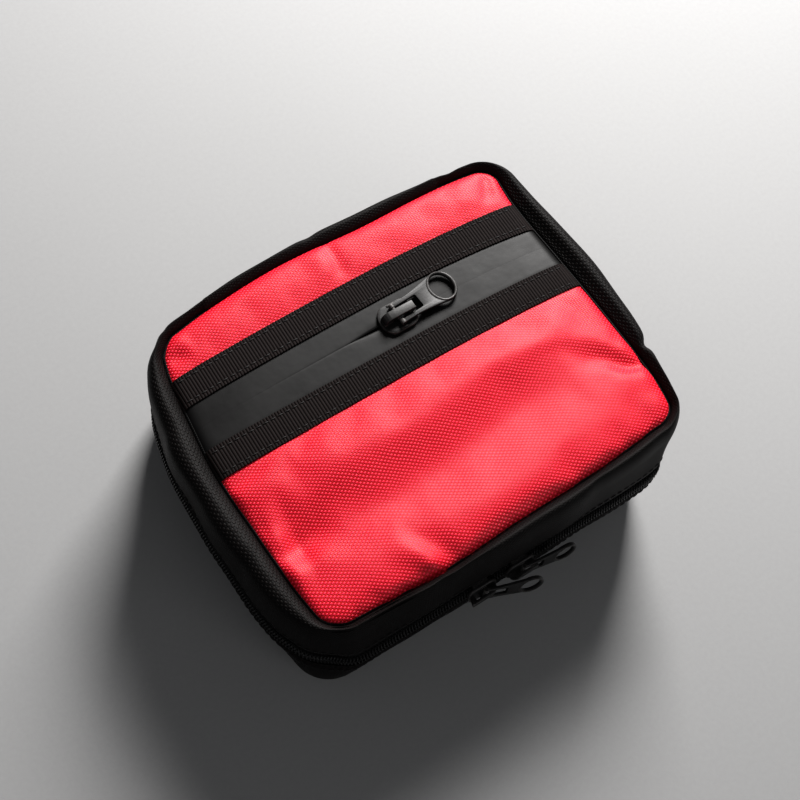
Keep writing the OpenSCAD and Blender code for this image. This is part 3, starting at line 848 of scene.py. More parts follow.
def panel_height(x, y):
    """The puffed red panels, which run under the ribbons."""
    near = seam_near(x, y)
    d = near[0]
    past = np.maximum(edge_d(x) - y, y - edge_a(x))
    front = y < 20
    puff = np.where(past > 0, rise(np.maximum(past, 0), 5.5, 1.25), 0)
    from_left, from_right = np.maximum(x - FACE_LEFT, 0), np.maximum(FACE_RIGHT + 1 - x, 0)
    dome = rise(from_left, 22, 1.4) * rise(from_right, 26, 1.4)
    dome = dome * np.where(front, 0.8 + 0.2 * smoothstep(-64, -38, y), 1)
    edge = rise(d, 3.4, 1.2) * (0.25 + 0.75 * dome)
    extra = 1.45 * sum(fold(x, y, *f) for f in FOLDS) + uneven(FACE_WAVES, x, y)
    loose = smoothstep(-0.5, 6.0, past) * (0.25 + 0.75 * smoothstep(0.3, 5.0, d))
    under = np.where(past < 0.6, -0.06 - 0.1 * smoothstep(0.6, -1.2, past),
                     -0.06 * smoothstep(2.0, 0.6, past))
    size = np.where(front, 2.6, 2.1)
    return strip_height(near) + size * puff * edge + extra * loose + under


def coons(b, t, l, r):
    """A grid between four edge curves: b and t run along u, l and r along v."""
    u = np.linspace(0, 1, len(b))[:, None, None]
    v = np.linspace(0, 1, len(l))[None, :, None]
    return (
        (1 - v) * b[:, None] + v * t[:, None] + (1 - u) * l[None] + u * r[None]
        - (1 - u) * (1 - v) * b[0] - u * (1 - v) * b[-1] - (1 - u) * v * t[0] - u * v * t[-1]
    )


def eased(n):
    """n places from 0 to 1, a little closer together at both ends."""
    k, ease = np.linspace(0, 1, n), 0.3
    return (1 - ease) * k + ease * 0.5 * (1 - np.cos(math.pi * k))


def side_s(k, level):
    """Length along the crest where the seam passes the edge curve level on side k."""
    ys = np.linspace(-40, 60, 400)
    s = right_s(ys) if k > 0 else left_s(ys)
    p = seam_point(s)
    return float(np.interp(0, p[:, 1] - level(p[:, 0]), s))


def seam_curve(s0, s1, n):
    return seam_point(s0 + (s1 - s0) * eased(n))


def red_grid(front):
    """Plan of the lower or the upper red panel, which runs a little way under its ribbon."""
    nu, nv = 170, (78 if front else 26)
    tuck = 3.4
    level = (lambda x: edge_d(x) + tuck) if front else (lambda x: edge_a(x) - tuck)
    sl, sr = side_s(-1, level), side_s(1, level)
    if front:
        left, right = seam_curve(corner_s(3), sl, nv), seam_curve(corner_s(0), sr, nv)
        outer = seam_curve(corner_s(3) - LOOP, corner_s(0), nu)
    else:
        left, right = seam_curve(sl, corner_s(2), nv), seam_curve(sr, corner_s(1), nv)
        outer = seam_curve(corner_s(2), corner_s(1), nu)
    end = -1 if front else 0
    x = left[end][0] + (right[end][0] - left[end][0]) * eased(nu)
    inner = np.stack([x, level(x)], axis=1)
    return coons(outer, inner, left, right) if front else coons(inner, outer, left, right)


CLOTH = dict(
    vertex_group_mass="held", quality=6, mass=0.12, tension_stiffness=12, compression_stiffness=12,
    shear_stiffness=6, bending_stiffness=6.0, air_damping=3, shrink_min=-0.002, use_pressure=True,
    uniform_pressure_force=0.9,
)
SIM_FRAMES, SWELL_CAP, SMOOTHING = 18, 1.2, 6


def padded_cloth(name, p, front):
    """Lets the panel swell and pucker between its held edges, as foam-backed cloth does."""
    nu, nv = p.shape[:2]
    me = bpy.data.meshes.new("sim")
    me.from_pydata((p.reshape(-1, 3) * MM).tolist(), [], quads(nu, nv).tolist())
    ob = link("sim_" + name, me)
    held = np.zeros((nu, nv))
    past = np.maximum(edge_d(p[..., 0]) - p[..., 1], p[..., 1] - edge_a(p[..., 0]))
    held[past < 0.4] = 1
    held[[0, -1]] = 1
    held[:, 0 if front else -1] = 1
    group = ob.vertex_groups.new(name="held")
    group.add(np.flatnonzero(held.ravel() > 0.5).tolist(), 1.0, "REPLACE")
    settings = ob.modifiers.new("cloth", "CLOTH").settings
    for key, value in CLOTH.items():
        setattr(settings, key, value)
    settings.effector_weights.gravity = 0
    scene = bpy.context.scene
    for f in range(1, SIM_FRAMES + 1):
        scene.frame_set(f)
    ev = ob.evaluated_get(bpy.context.evaluated_depsgraph_get())
    co = np.empty(nu * nv * 3, np.float32)
    ev.data.vertices.foreach_get("co", co)
    moved = co.reshape(nu, nv, 3) / MM - p
    scene.frame_set(1)
    bpy.data.objects.remove(ob)
    size = np.linalg.norm(moved, axis=-1, keepdims=True)
    print(f"SIM {name} moved up to {size.max():.2f} mm, mean {size.mean():.2f}")
    moved = moved * np.minimum(1, SWELL_CAP / np.maximum(size, 1e-9))
    for _ in range(SMOOTHING):              # the foam behind the cloth evens out small wrinkles
        inner = (moved[:-2, 1:-1] + moved[2:, 1:-1] + moved[1:-1, :-2] + moved[1:-1, 2:]) / 4
        moved[1:-1, 1:-1] += 0.6 * (inner - moved[1:-1, 1:-1]) * (1 - held[1:-1, 1:-1, None])
    return p + moved


def red_panel(front):
    """One of the two padded red panels."""
    name = "face_panel_lower" if front else "face_panel_upper"
    xy = red_grid(front)
    p = np.dstack([xy, panel_height(xy[..., 0], xy[..., 1])])
    p = padded_cloth(name, p, front)
    ob = piece(name + "_cloth", *cloth_solid(p, xy, SHELL_T, 0.3, facing(p, 2)), material=RED,
               slot="face_fabric", body="lid")
    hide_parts(name)


red_panel(True)
red_panel(False)


def band_grid(low, high, nu, nv, inset=0.0):
    """Plan of a strip between two edge curves, from seam to seam."""
    ys = np.linspace(-45, 62, 600)
    lp, rp = seam_point(left_s(ys)), seam_point(right_s(ys))
    out = np.empty((nu, nv, 2))
    for j, f in enumerate(np.linspace(0, 1, nv)):
        xl, xr = FACE_LEFT, FACE_RIGHT
        for _ in range(4):                  # closes in on where the strip's edge meets the seam
            yl, yr = (low(x) * (1 - f) + high(x) * f for x in (np.array(xl), np.array(xr)))
            xl, xr = float(np.interp(yl, *lp.T[::-1])), float(np.interp(yr, *rp.T[::-1]))
        x = np.linspace(xl + inset, xr - inset, nu)
        out[:, j] = np.stack([x, low(x) * (1 - f) + high(x) * f], axis=1)
    return out


def along_near(x, y):
    """seam_near for a long strip, worked out at its two ends in full and coarsely between them."""
    n, full, step = len(x), 24, 12
    keep = np.unique(np.concatenate([np.arange(0, full), np.arange(full, n - full, step),
                                     np.arange(n - full, n)]))
    at = np.arange(n)
    return [np.stack([np.interp(at, keep, q[:, j]) for j in range(x.shape[1])], axis=1)
            for q in seam_near(x[keep], y[keep])]


def ribbon(side, low, high):
    """A grosgrain ribbon with real ribs, a scalloped edge, and a row of stitches near each edge."""
    nv = 15
    xy = band_grid(low, high, 520, nv)
    x, y = xy[..., 0], xy[..., 1]
    near = along_near(x, y)
    f = np.linspace(0, 1, nv)[None, :]
    rib = np.abs(np.sin(math.pi * x / RIB))
    y = y + np.where(f == 0, -0.16 * rib, 0) + np.where(f == 1, 0.16 * rib, 0)
    crown = 0.10 * (1 - (2 * f - 1) ** 4)
    z = strip_height(near) + 0.56 + crown + 0.09 * rib
    stitched = [0.165, 0.835]
    for at in stitched:
        z = z - 0.13 * np.exp(-((f - at) / 0.045) ** 2)
    p = np.dstack([x, y, z])
    ob = piece(f"grosgrain_{side}_ribbon",
               *cloth_solid(p, np.dstack([x, y]), 0.5, 0.3, facing(p, 2)), material=GROSGRAIN,
               slot="grosgrain", body="lid")
    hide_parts(f"grosgrain_{side}")
    up = normals(p)
    up = up * np.sign(up[..., 2:3])
    rows = []
    for at in stitched:
        j = int(round(at * (nv - 1)))
        rows.append(stitches(p[6:-6, j], up[6:-6, j], 3.0, 2.35, 0.2, 0.05))
    piece(f"grosgrain_{side}_ribbon_stitches", *join(rows), material=THREAD, slot="grosgrain",
          body="lid", flip=False)


ribbon("upper", edge_b, edge_a)
ribbon("lower", edge_d, edge_c)

POCKET_X = float(np.mean([b[0] for b in box_mm("pocket_slider_crown")])) - 0.4


def lip(x):
    """Half width of the slit between the pocket zip's lips: shut, and spread at the slider."""
    nose = POCKET_X - 7.4
    spread = smoothstep(nose - 17, nose + 1, x) * (x < nose + 6) * (x > nose - 18)
    return 0.01 + 0.55 * spread


def zip_strip(side):
    """One laminated tape of the pocket zip, its inner edge rolled down to meet the other."""
    tuck = 3.2
    nu, nv = 300, 26
    upper = side == "upper"
    k = 1 if upper else -1
    if upper:
        xy = band_grid(edge_m, lambda x: edge_b(x) + tuck, nu, nv)
    else:
        xy = band_grid(lambda x: edge_c(x) - tuck, edge_m, nu, nv)[:, ::-1]
    x, y = xy[..., 0], xy[..., 1]
    g = np.linspace(0, 1, nv)[None, :] ** 1.7       # rows bunch together at the lip
    y = y[:, :1] + (y[:, -1:] - y[:, :1]) * g
    x = x[:, :1] + (x[:, -1:] - x[:, :1]) * g
    width = (y - y[:, :1]) * k
    y = y + k * lip(x) * np.exp(-width / 2.4)
    z = strip_height(along_near(x, y)) + 0.02
    shut = 0.05 * smoothstep(-70, -10, x) * (x < POCKET_X)
    z = z - (shut + 0.5 * lip(x)) * np.exp(-((width / 0.32) ** 1.4))
    z = z - 0.3 * lip(x) * np.exp(-((width / 1.6) ** 2))
    past = (y - edge_b(x)) if upper else (edge_c(x) - y)
    z = z - 0.1 * smoothstep(-0.8, 0.8, past)
    p = np.dstack([x, y, z])
    ob = piece(f"pocket_zip_strip_{side}",
               *cloth_solid(p, np.dstack([x, y]), TAPE_T - 0.1, 0.08, facing(p, 2)),
               material=LAMINATE, slot="laminated_tape", body="lid")
    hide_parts(f"pocket_zip_tape_{side}")


zip_strip("upper")
zip_strip("lower")


def pocket_teeth(side, k):
    """The spiral under one of the pocket zip's tapes, out of sight behind the lips."""
    turn_points = 8
    line = band_grid(edge_m, edge_m, 60, 1, 4.5)[:, 0]
    s = lengths(line)
    a = np.arange(int(s[-1] / COIL_PITCH) * turn_points) * TAU / turn_points
    run = (a / TAU + (0.5 if k < 0 else 0)) * COIL_PITCH * 0.995
    x, y = np.interp(run, s, line[:, 0]), np.interp(run, s, line[:, 1])
    z = FACE_TOP - TAPE_T - 0.95 + 0.55 * np.sin(a)
    path = np.stack([x, y + k * (1.55 - 1.2 * np.cos(a)), z], axis=1)
    ob = piece(f"pocket_zip_teeth_{side}", *tube(path, np.broadcast_to(UP, path.shape), 0.28, 5),
               material=COIL, slot="zip_coil", body="lid", flip=False)
    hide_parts(f"pocket_zip_coil_{side}")


pocket_teeth("upper", 1)
pocket_teeth("lower", -1)


# ---------------------------------------------------------------- sliders and pulls

def signed_area(x, y):
    """Area inside a closed line, negative where it runs clockwise."""
    return (x @ np.roll(y, -1) - y @ np.roll(x, -1)) / 2


def mesh_parts(bm):
    """Points, faces and plan coordinates of a mesh being built, which is then let go.

    They are put in order by place, because Blender's own order varies from run to run.
    """
    bm.verts.index_update()
    v = np.array([x.co[:] for x in bm.verts])
    order = np.lexsort(np.round(v, 4).T)
    rank = np.argsort(order)
    faces = []
    for face in bm.faces:
        ids = [int(rank[q.index]) for q in face.verts]
        first = ids.index(min(ids))
        faces.append(ids[first:] + ids[:first])
    bm.free()
    v = v[order]
    return v, sorted(faces), v[:, :2]


def loft(outline, levels):
    """A solid from an outline (n x 2) at levels of (height, inset), capped top and bottom."""
    outline = np.asarray(outline, float)
    t = np.roll(outline, -1, axis=0) - np.roll(outline, 1, axis=0)
    n = np.stack([t[:, 1], -t[:, 0]], axis=1)
    n /= np.linalg.norm(n, axis=1, keepdims=True)
    n = n * np.sign(signed_area(*outline.T))
    m = len(outline)
    rings = [np.column_stack([outline - n * inset, np.full(m, z)]) for z, inset in levels]
    faces = []
    for a in range(len(rings) - 1):
        for b in range(m):
            c = (b + 1) % m
            faces.append([a * m + b, a * m + c, (a + 1) * m + c, (a + 1) * m + b])
    faces.append(list(range(m))[::-1])
    faces.append([(len(rings) - 1) * m + b for b in range(m)])
    v = np.concatenate(rings)
    return v, faces, v[:, :2]


def slab(profile, half, bevel, segments):
    """A side profile in x, z pushed out to y = -half and +half, with its edges rounded."""
    bm = bmesh.new()
    back = [bm.verts.new((x, -half, z)) for x, z in profile]
    face = bm.faces.new(back)
    out = bmesh.ops.extrude_face_region(bm, geom=[face])
    far = [g for g in out["geom"] if isinstance(g, bmesh.types.BMVert)]
    bmesh.ops.translate(bm, vec=(0, 2 * half, 0), verts=far)
    bmesh.ops.recalc_face_normals(bm, faces=bm.faces)
    bmesh.ops.bevel(bm, geom=list(bm.edges), offset=bevel, segments=segments, profile=0.5,
                    affect="EDGES", clamp_overlap=True)
    return mesh_parts(bm)


def lathe(profile, sides=48, axis="z", ring=False):
    """Turns (radius, height) points about z. A ring's profile closes on itself."""
    pr = np.asarray(profile, float)
    a = np.arange(sides) * TAU / sides
    r, z = pr[None, :, 0], np.broadcast_to(pr[:, 1], (sides, len(pr)))
    v = np.stack([r * np.cos(a)[:, None], r * np.sin(a)[:, None], z], axis=-1).reshape(-1, 3)
    m = len(pr)
    faces = []
    for i in range(sides):
        k = (i + 1) % sides
        for j in range(m if ring else m - 1):
            q = (j + 1) % m
            faces.append([i * m + j, k * m + j, k * m + q, i * m + q])
    if not ring:
        faces.append([i * m for i in range(sides)][::-1])
        faces.append([i * m + m - 1 for i in range(sides)])
    uv = cross_uv(a * pr[:, 0].max(), lengths(pr)).reshape(-1, 2)
    if axis == "y":
        v = v[:, [0, 2, 1]] * [1, 1, -1]
    return v, faces, uv


def moved(part, matrix):
    v, f, uv = part
    m = np.array(matrix, float)
    return np.asarray(v, float) @ m[:3, :3].T + m[:3, 3], f, uv


def shifted(part, y):
    """A part moved sideways."""
    v, f, uv = part
    return v + [0, y, 0], f, uv


def plan(s):
    """Outline of a slider's plates for a size s: a round nose, straight sides, a narrower tail."""
    nose, waist, nose_r, half = -3, 3.6, 4.4, 6.1
    x = np.concatenate([nose - nose_r * np.cos(np.radians(np.arange(3, 91, 7.25))),
                        np.linspace(-2, waist, 6), np.linspace(4.3, 6.5, 4)])
    y = np.where(x < nose, half * np.sqrt(np.maximum(0, 1 - ((x - nose) / nose_r) ** 2)),
                 np.where(x < waist, half, half - 1.7 * ((x - waist) / 3.2) ** 2))
    tail = np.array([[6.8, 3.9], [6.8, 0.0], [6.8, -3.9]])
    tip = [[nose - nose_r, 0]]
    return np.concatenate([tip, np.stack([x, y], 1), tail, np.stack([x, -y], 1)[::-1]]) * s


def slider_parts(s, z0, z1, flange=None):
    """A zip slider's body: crowned top plate, bottom plate, and if asked flanges and a wedge."""
    top = [(z0, 0.3 * s), (z0 + 0.2 * s, 0.05), (z0 + 0.45 * s, 0.0), (z0 + 0.95 * s, 0.04),
           (z0 + 1.22 * s, 0.22), (z0 + 1.36 * s, 0.6), (z0 + 1.4 * s, 1.3)]
    low = [(z1 - 1.1 * s, 0.7), (z1 - 0.95 * s, 0.35), (z1 - 0.3 * s, 0.3), (z1, 0.5)]
    parts = [loft(plan(s), top), loft(plan(s), low)]
    if flange:
        f0, f1 = flange
        for k in (-1, 1):
            y0, y1 = k * 3.55, k * 5.55 * s
            box = [(-3.4 * s, f0), (3.8 * s, f0), (4.2 * s, f1), (-3.9 * s, f1)]
            parts.append(shifted(slab(box, abs(y1 - y0) / 2, 0.18, 2), (y0 + y1) / 2))
        wedge = [(-6.4 * s, z1), (-3.2 * s, z1), (-3.0 * s, z0 + 0.1), (-6.6 * s, z0 + 0.1)]
        parts.append(slab(wedge, 0.45, 0.12, 2))
    # two low cheeks that the pull's lugs turn against
    for k in (-1, 1):
        cheek = [(-1.9 * s, z0 + 1.2 * s), (1.9 * s, z0 + 1.2 * s), (1.3 * s, z0 + 1.72 * s),
                 (-1.3 * s, z0 + 1.72 * s)]
        parts.append(shifted(slab(cheek, 0.35 * s, 0.14, 2), k * 5.15 * s))
    return join(parts)


def crown_part(s, z0):
    """The arched bar that holds the pull's crossbar, round at the nose and square at the tail."""
    b = z0 + 1.36 * s
    prof = [(-6.3, 0.0), (-6.25, 0.9), (-6.0, 1.75), (-5.4, 2.5), (-4.5, 3.1), (-3.4, 3.42),
            (-1.5, 3.5), (7.0, 3.5), (7.1, 3.1), (7.0, 2.5), (6.55, 0.9), (6.3, 0.0), (4.7, 0.0),
            (4.65, 2.3), (-2.3, 2.3), (-2.9, 0.0)]
    return slab([(x * s, b + z * s) for x, z in prof], 1.7 * s, 0.34 * s, 3)


PULL_LEN, RING_R, RING_HOLE = 21.1, 6.5, 5.3


def pull_neck(x):
    """Half width of the pull's blade, flared towards the ring."""
    return 4.5 + 1.85 * np.clip((x - 6) / 14, 0, 1) ** 1.35


def ring_line(f, angle):
    """The pull's oval ring in plan: f is 0 round the hole and 1 round the outside."""
    along, across = 4.3 + 1.5 * f, 5.55 + 0.95 * f
    return np.stack([PULL_LEN + along * np.cos(angle), across * np.sin(angle)], axis=-1)


def flat_plate(outer, holes, thick, bevel):
    """A flat plate with holes and rounded edges, from closed outlines in plan."""
    cu = bpy.data.curves.new("plate", "CURVE")
    cu.dimensions = "2D"
    cu.fill_mode = "BOTH"
    cu.extrude = (thick / 2 - bevel)
    cu.bevel_depth = bevel
    cu.bevel_resolution = 2
    cu.offset = -bevel
    for line in [outer] + holes:
        sp = cu.splines.new("POLY")
        sp.points.add(len(line) - 1)
        rows = np.column_stack([line, np.zeros(len(line)), np.ones(len(line))])
        sp.points.foreach_set("co", rows.ravel())
        sp.use_cyclic_u = True
    ob = link("plate", cu)
    ev = ob.evaluated_get(bpy.context.evaluated_depsgraph_get())
    me = bpy.data.meshes.new_from_object(ev)
    bm = bmesh.new()
    bm.from_mesh(me)
    bmesh.ops.remove_doubles(bm, verts=bm.verts, dist=1e-4)
    part = mesh_parts(bm)
    bpy.data.objects.remove(ob)
    bpy.data.curves.remove(cu)
    bpy.data.meshes.remove(me)
    return part


def pull_parts(s):
    """A zip pull: a blade with a window, flared into a rimmed ring, on a round crossbar."""
    t, window, neck_end = 1.3, 10.2, 20.3
    x = np.linspace(1.6, neck_end - 0.3, 30)
    meets = math.acos((neck_end - PULL_LEN) / 5.72)      # where the neck runs into the ring
    ring = ring_line(0.95, np.linspace(meets, 0, 30))
    start = [[-0.9, 2.85], [-1.0, 3.4], [-0.7, 4.1], [0.2, 4.55]]
    half = np.concatenate([start, np.stack([x, pull_neck(x)], 1), ring])
    # the window is open towards the crossbar, so the outline runs round it
    inner = np.array([[window - back, y] for back, y in (
        (0.5, -2.8), (0.15, -2.65), (0, -2.3), (0, 2.3), (0.15, 2.65), (0.5, 2.8))])
    outer = np.concatenate([half, half[::-1][1:] * [1, -1], inner])
    hole = ring_line(0.25, np.arange(40) * TAU / 40)
    parts = [flat_plate(outer * s, [hole * s], t * s, 0.22 * s)]
    side = [(RING_HOLE, 0.45), (RING_HOLE + 0.18, 0.8), (RING_HOLE + 0.45, 0.95),
            (RING_R - 0.4, 0.95), (RING_R - 0.12, 0.75), (RING_R, 0.4)]
    v, f, uv = lathe([(r, -z) for r, z in side] + side[::-1], 64, ring=True)
    r, angle = np.hypot(v[:, 0], v[:, 1]), np.arctan2(v[:, 1], v[:, 0])
    oval = ring_line((r - RING_HOLE) / (RING_R - RING_HOLE), angle)
    parts.append((np.column_stack([oval, v[:, 2]]) * s, f, uv))
    lug = [(0.35, -0.9), (0.9, -0.9), (1.1, -0.7), (1.1, 0.7), (0.9, 0.9), (0.35, 0.9)]
    for k in (-1, 1):
        parts.append(shifted(lathe([(r * s, z * s) for r, z in lug], 20, "y"), k * 3.7 * s))
    bar = [(0.5, -4.5), (0.8, -4.3), (0.8, 4.3), (0.5, 4.5)]
    parts.append(lathe([(r * s, z * s) for r, z in bar], 16, "y"))
    return join(parts)


def turn(deg, axis):
    """Rotation by degrees about a part's own axis."""
    return Matrix.Rotation(math.radians(deg), 4, axis)


def at_main(x):
    """A place on the main zip's front run, x along it, y up its tape and z out of it."""
    lean = Matrix.Rotation(math.pi / 2 - ZIP_LEAN, 4, "X")
    return Matrix.Translation((x, -CREST_Y, ZIP_Z)) @ lean


MIRROR = Matrix.Scale(-1, 4, (1, 0, 0))
MAIN_S, MAIN_Z0, POCKET_Z0, LEFT_X = 0.86, COIL_H + 0.3, 0.3, -16.5
POCKET_AT = Matrix.Translation((6.8, POCKET_ZIP_Y, FACE_TOP))
MAIN = dict(s=MAIN_S, z0=MAIN_Z0, z1=-TAPE_T - 0.35, flange=(0.35, MAIN_Z0 + 0.1))
SLIDERS = {
    "pocket": dict(at=POCKET_AT, s=1.0, z0=POCKET_Z0, z1=-TAPE_T - COIL_H - 0.35, flange=None,
                   pull_at=POCKET_AT, pull=turn(5, "Z") @ turn(3.5, "Y")),
    "left": dict(MAIN, at=at_main(LEFT_X) @ MIRROR, pull_at=at_main(LEFT_X),
                 pull=turn(-8, "Z") @ turn(-17, "Y")),
    "right": dict(MAIN, at=at_main(0.5), pull_at=at_main(0.5),
                  pull=turn(-5, "Z") @ turn(-6, "Y")),
}
HARD = dict(material=METAL, slot="black_metal", smooth=35)
for name, q in SLIDERS.items():
    s = q["s"]
    plate = moved(slider_parts(s, q["z0"], q["z1"], q["flange"]), q["at"])
    ob = piece(f"{name}_slider_plate", *plate, body=f"{name}_slider", **HARD)
    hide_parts(f"{name}_slider_body")
    ob = piece(f"{name}_slider_bridge", *moved(crown_part(s, q["z0"]), q["at"]),
               body=f"{name}_slider", **HARD)
    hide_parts(f"{name}_slider_crown")
    at = q["pull_at"] @ Matrix.Translation((0, 0, q["z0"] + 2.75 * s)) @ q["pull"]
    ob = piece(f"{name}_pull_ring", *moved(pull_parts(s), at), body=f"{name}_pull_body", **HARD)
    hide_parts(f"{name}_pull")


# ---------------------------------------------------------------- floor, inside and bindings

def inner_rings(edge, f):
    """Rings of points inside a closed line, at the shares f of the way to its middle."""
    return (edge[:, None] * (1 - f[None, :, None] * TO_MIDDLE))[:-1]


def closed_plate(low, t):
    """A flat plate on a grid of rings of points, its top at t above them."""
    nu, nv = low.shape[:2]
    v = np.concatenate([low.reshape(-1, 3), (low + [0, 0, t]).reshape(-1, 3)])
    faces, m = [], nu * nv
    for i in range(nu):
        a, b = i * nv, (i + 1) % nu * nv
        for j in range(nv - 1):
            faces.append([a + j, a + j + 1, b + j + 1, b + j])
            faces.append([m + a + j, m + b + j, m + b + j + 1, m + a + j + 1])
        faces.append([a, b, m + b, m + a])
    faces.append([i * nv + nv - 1 for i in range(nu)])
    faces.append([m + i * nv + nv - 1 for i in range(nu)][::-1])
    return v, faces, v[:, :2]


def bottom_panel():
    """The floor of the pouch, cut to the shell's sagged outline."""
    s = ring_path(2.2)
    p, n = crest(s)
    xy = inner_rings(p + (bulge(s)[:, 3] - 4.3)[:, None] * n, np.linspace(0, 1, 12) ** 0.7)
    low = np.dstack([xy, np.full(xy.shape[:2], 0.06)])
    ob = piece("base_panel_cloth", *closed_plate(low, SHELL_T - 0.1), BLACK, "shell_fabric", "base")
    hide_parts("base_panel")


bottom_panel()


def disc(name, o, z, t, body, node, seed, bulge_at):
    """A flat inner sheet with the shell's outline, a little uneven."""
    edge = swept([(o, bulge_at)], ring_path(2.4))[:, 0, :2]
    f = np.linspace(0, 1, 30)
    xy = inner_rings(edge, f)
    wave = uneven(waves(seed, 8, (22, 60), 0.12), xy[..., 0], xy[..., 1])
    low = np.dstack([xy, z + wave * smoothstep(0, 0.2, f)])
    ob = piece(name, *closed_plate(low, t), LINING, "lining", body)
    if node:
        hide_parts(node)


disc("base_lining_floor", -4.9, 1.5, 0.45, "base", None, 3, 5.0)
INSIDE = ring_path(1.8, 0.02)
WALLS = [(0.55, 27.2), (0.62, 21.5), (0.35, 15.2), (-0.45, 8.9), (-1.75, 4.7), (-3.1, 2.7),
         (-5.2, 2.02)]
band("base_lining_walls", resample(WALLS, 22), INSIDE, 0.35, LINING, "lining", "base",
     "base_lining", side=1)
for body, rows in (("base", [(-6.6, 2.3), (-6.15, 4.2), (-6.6, 6.2)]),
                   ("lid", [(-7.5, 61.5), (-7.15, 63.2), (-7.5, 65.0)])):
    band(f"{body}_seam_tape", resample(rows, 10), INSIDE, 0.9, BINDING, "binding", body,
         f"{body}_seam_binding", side=1)
disc("pocket_backing_cloth", -0.35, BACKING_LOW + 0.02, 0.5, "lid", "pocket_backing", 7, 51.0)


# ---------------------------------------------------------------- dividers and contents

def bunched(width, n):
    """n places across a width, closer together near its two sides."""
    last = math.pi / 2 * 0.98
    return (width / 2) * np.sin(np.linspace(-1, 1, n) * last) / math.sin(last)


def slab_grid(w, d, top, bottom, nx, ny):
    """A closed pillow w by d: top and bottom are functions of (x, y, distance to the edge)."""
    x, y = bunched(w, nx), bunched(d, ny)
    gx, gy = np.meshgrid(x, y, indexing="ij")
    e = np.minimum(w / 2 - np.abs(gx), d / 2 - np.abs(gy))
    a = np.dstack([gx, gy, top(gx, gy, e)])
    b = np.dstack([gx, gy, bottom(gx, gy, e)])
    m, q = nx * ny, quads(nx, ny)
    faces = q.tolist() + (q[:, ::-1] + m).tolist()
    rim = [i * ny for i in range(nx)] + [(nx - 1) * ny + j for j in range(1, ny)]
    rim += [i * ny + ny - 1 for i in range(nx - 2, -1, -1)] + list(range(ny - 2, 0, -1))
    for p0, p1 in zip(rim, rim[1:] + rim[:1]):
        faces.append([p1, p0, p0 + m, p1 + m])
    v = np.concatenate([a.reshape(-1, 3), b.reshape(-1, 3)])
    return v, faces, v[:, :2]


def sachet(at, w, d, t, seed, border=4.0, yaw=0.0):
    """A sealed sachet: a plump middle inside a thin crimped border."""
    crimp, wave = 0.25, waves(seed, 7, (7, 22), 0.16)

    def swell(x, y, e):
        plump = smoothstep(border - 1.2, border + 5.5, e) ** 0.7
        ripple = 0.06 * np.sin(TAU * (x + y) / 1.3) * (e < border - 0.8)
        dome = (t / 2 - crimp - 0.12) * plump * (0.93 + 0.07 * np.cos(x / w * 3))
        out = crimp * 0.9 + ripple * 0.5 + dome + uneven(wave, x, y) * plump * 0.45
        return np.minimum(out, t / 2 - 0.03)

    part = slab_grid(w - 0.3, d - 0.3, lambda x, y, e: t / 2 + swell(x, y, e),
                     lambda x, y, e: t / 2 - swell(x, y, e), 30, 30)
    return moved(part, Matrix.Translation(at) @ turn(yaw, "Z"))


def paper(name, colour, rough=(0.5, 0.65), depth=0.05, stripes=None, **look):
    """Paper and film: fine fibres, soft creases and, if asked, plain colour stripes."""
    w = Net(name, colour, **look)
    uv, _, v = w.cloth()
    fine, slow = w.noise(uv, 3.0, 3.0, 0.6), w.noise(uv, 0.12, 3.0, 0.6, 0.8)
    tone = w.m("MULTIPLY_ADD", fine, 0.4, w.m("MULTIPLY", slow, 0.6))
    dark = tuple(c * 0.86 for c in colour)
    light = tuple(min(1, c * 1.06) for c in colour)
    mixed = w.mix(tone, dark, light)
    if stripes:
        tint, pitch, share = stripes
        place = w.m("FRACT", w.m("MULTIPLY_ADD", v, 1 / pitch, 0.5 * share + 0.5))
        mixed = w.mix(w.m("LESS_THAN", place, share), mixed, tint)
    normal = w.bump(fine, depth)
    normal = w.bump(slow, 0.6, 0.3, normal)
    return w.out(mixed, w.grey(tone, rough[0], rough[1], 0.3, 0.7), normal)


def crepe(name, dark, light, pitch, depth=0.3):
    """Stretchy bandage: crinkled ridges across the strip, with a loose open weave. Its colour
    follows the ridges: paler on their crests (painted highlight) and darker in the troughs (painted
    shade), with random fibre mottle.
    """
    w = Net(name, light, rough=0.85, spec=0.2, sheen=0.2)
    uv, u, v = w.cloth()
    wander = w.noise(uv, 0.5, 2.0)
    ridge = w.m("SINE", w.m("MULTIPLY", w.m("MULTIPLY_ADD", wander, 1.4, v), TAU / pitch))
    knot_u = w.m("SINE", w.m("MULTIPLY", u, TAU / 0.7))
    net = w.m("MULTIPLY", knot_u, w.m("SINE", w.m("MULTIPLY", v, TAU / 0.7)))
    fine = w.noise(uv, 3.5, 2.0, 0.7)
    high = w.m("MULTIPLY_ADD", fine, 0.4, w.m("MULTIPLY", ridge, 0.5))
    high = w.m("MULTIPLY_ADD", net, 0.25, high)
    # painted highlight and painted shade: tone follows the ridge's height, lit on the crests and
    # shaded in the troughs
    tone = w.m("MULTIPLY_ADD", fine, 0.5, w.m("MULTIPLY_ADD", ridge, 0.25, 0.3), clamp=True)
    return w.out(w.mix(tone, dark, light), w.grey(fine, 0.75, 0.95), w.bump(high, depth))


def foil():
    """Crinkled gold film."""
    w = Net("gold_foil", (0.8, 0.6, 0.22), metal=1.0)
    at = w.space()
    cells = w.node("TexVoronoi", i0=at, Scale=0.22).outputs["Distance"]
    fine = w.noise(at, 0.5, 4.0, 0.6)
    return w.out(w.mix(fine, (0.62, 0.43, 0.13), (0.9, 0.7, 0.28)), w.grey(fine, 0.16, 0.34),
                 w.bump(cells, 0.9, 0.7, w.bump(fine, 0.4, 0.5)))


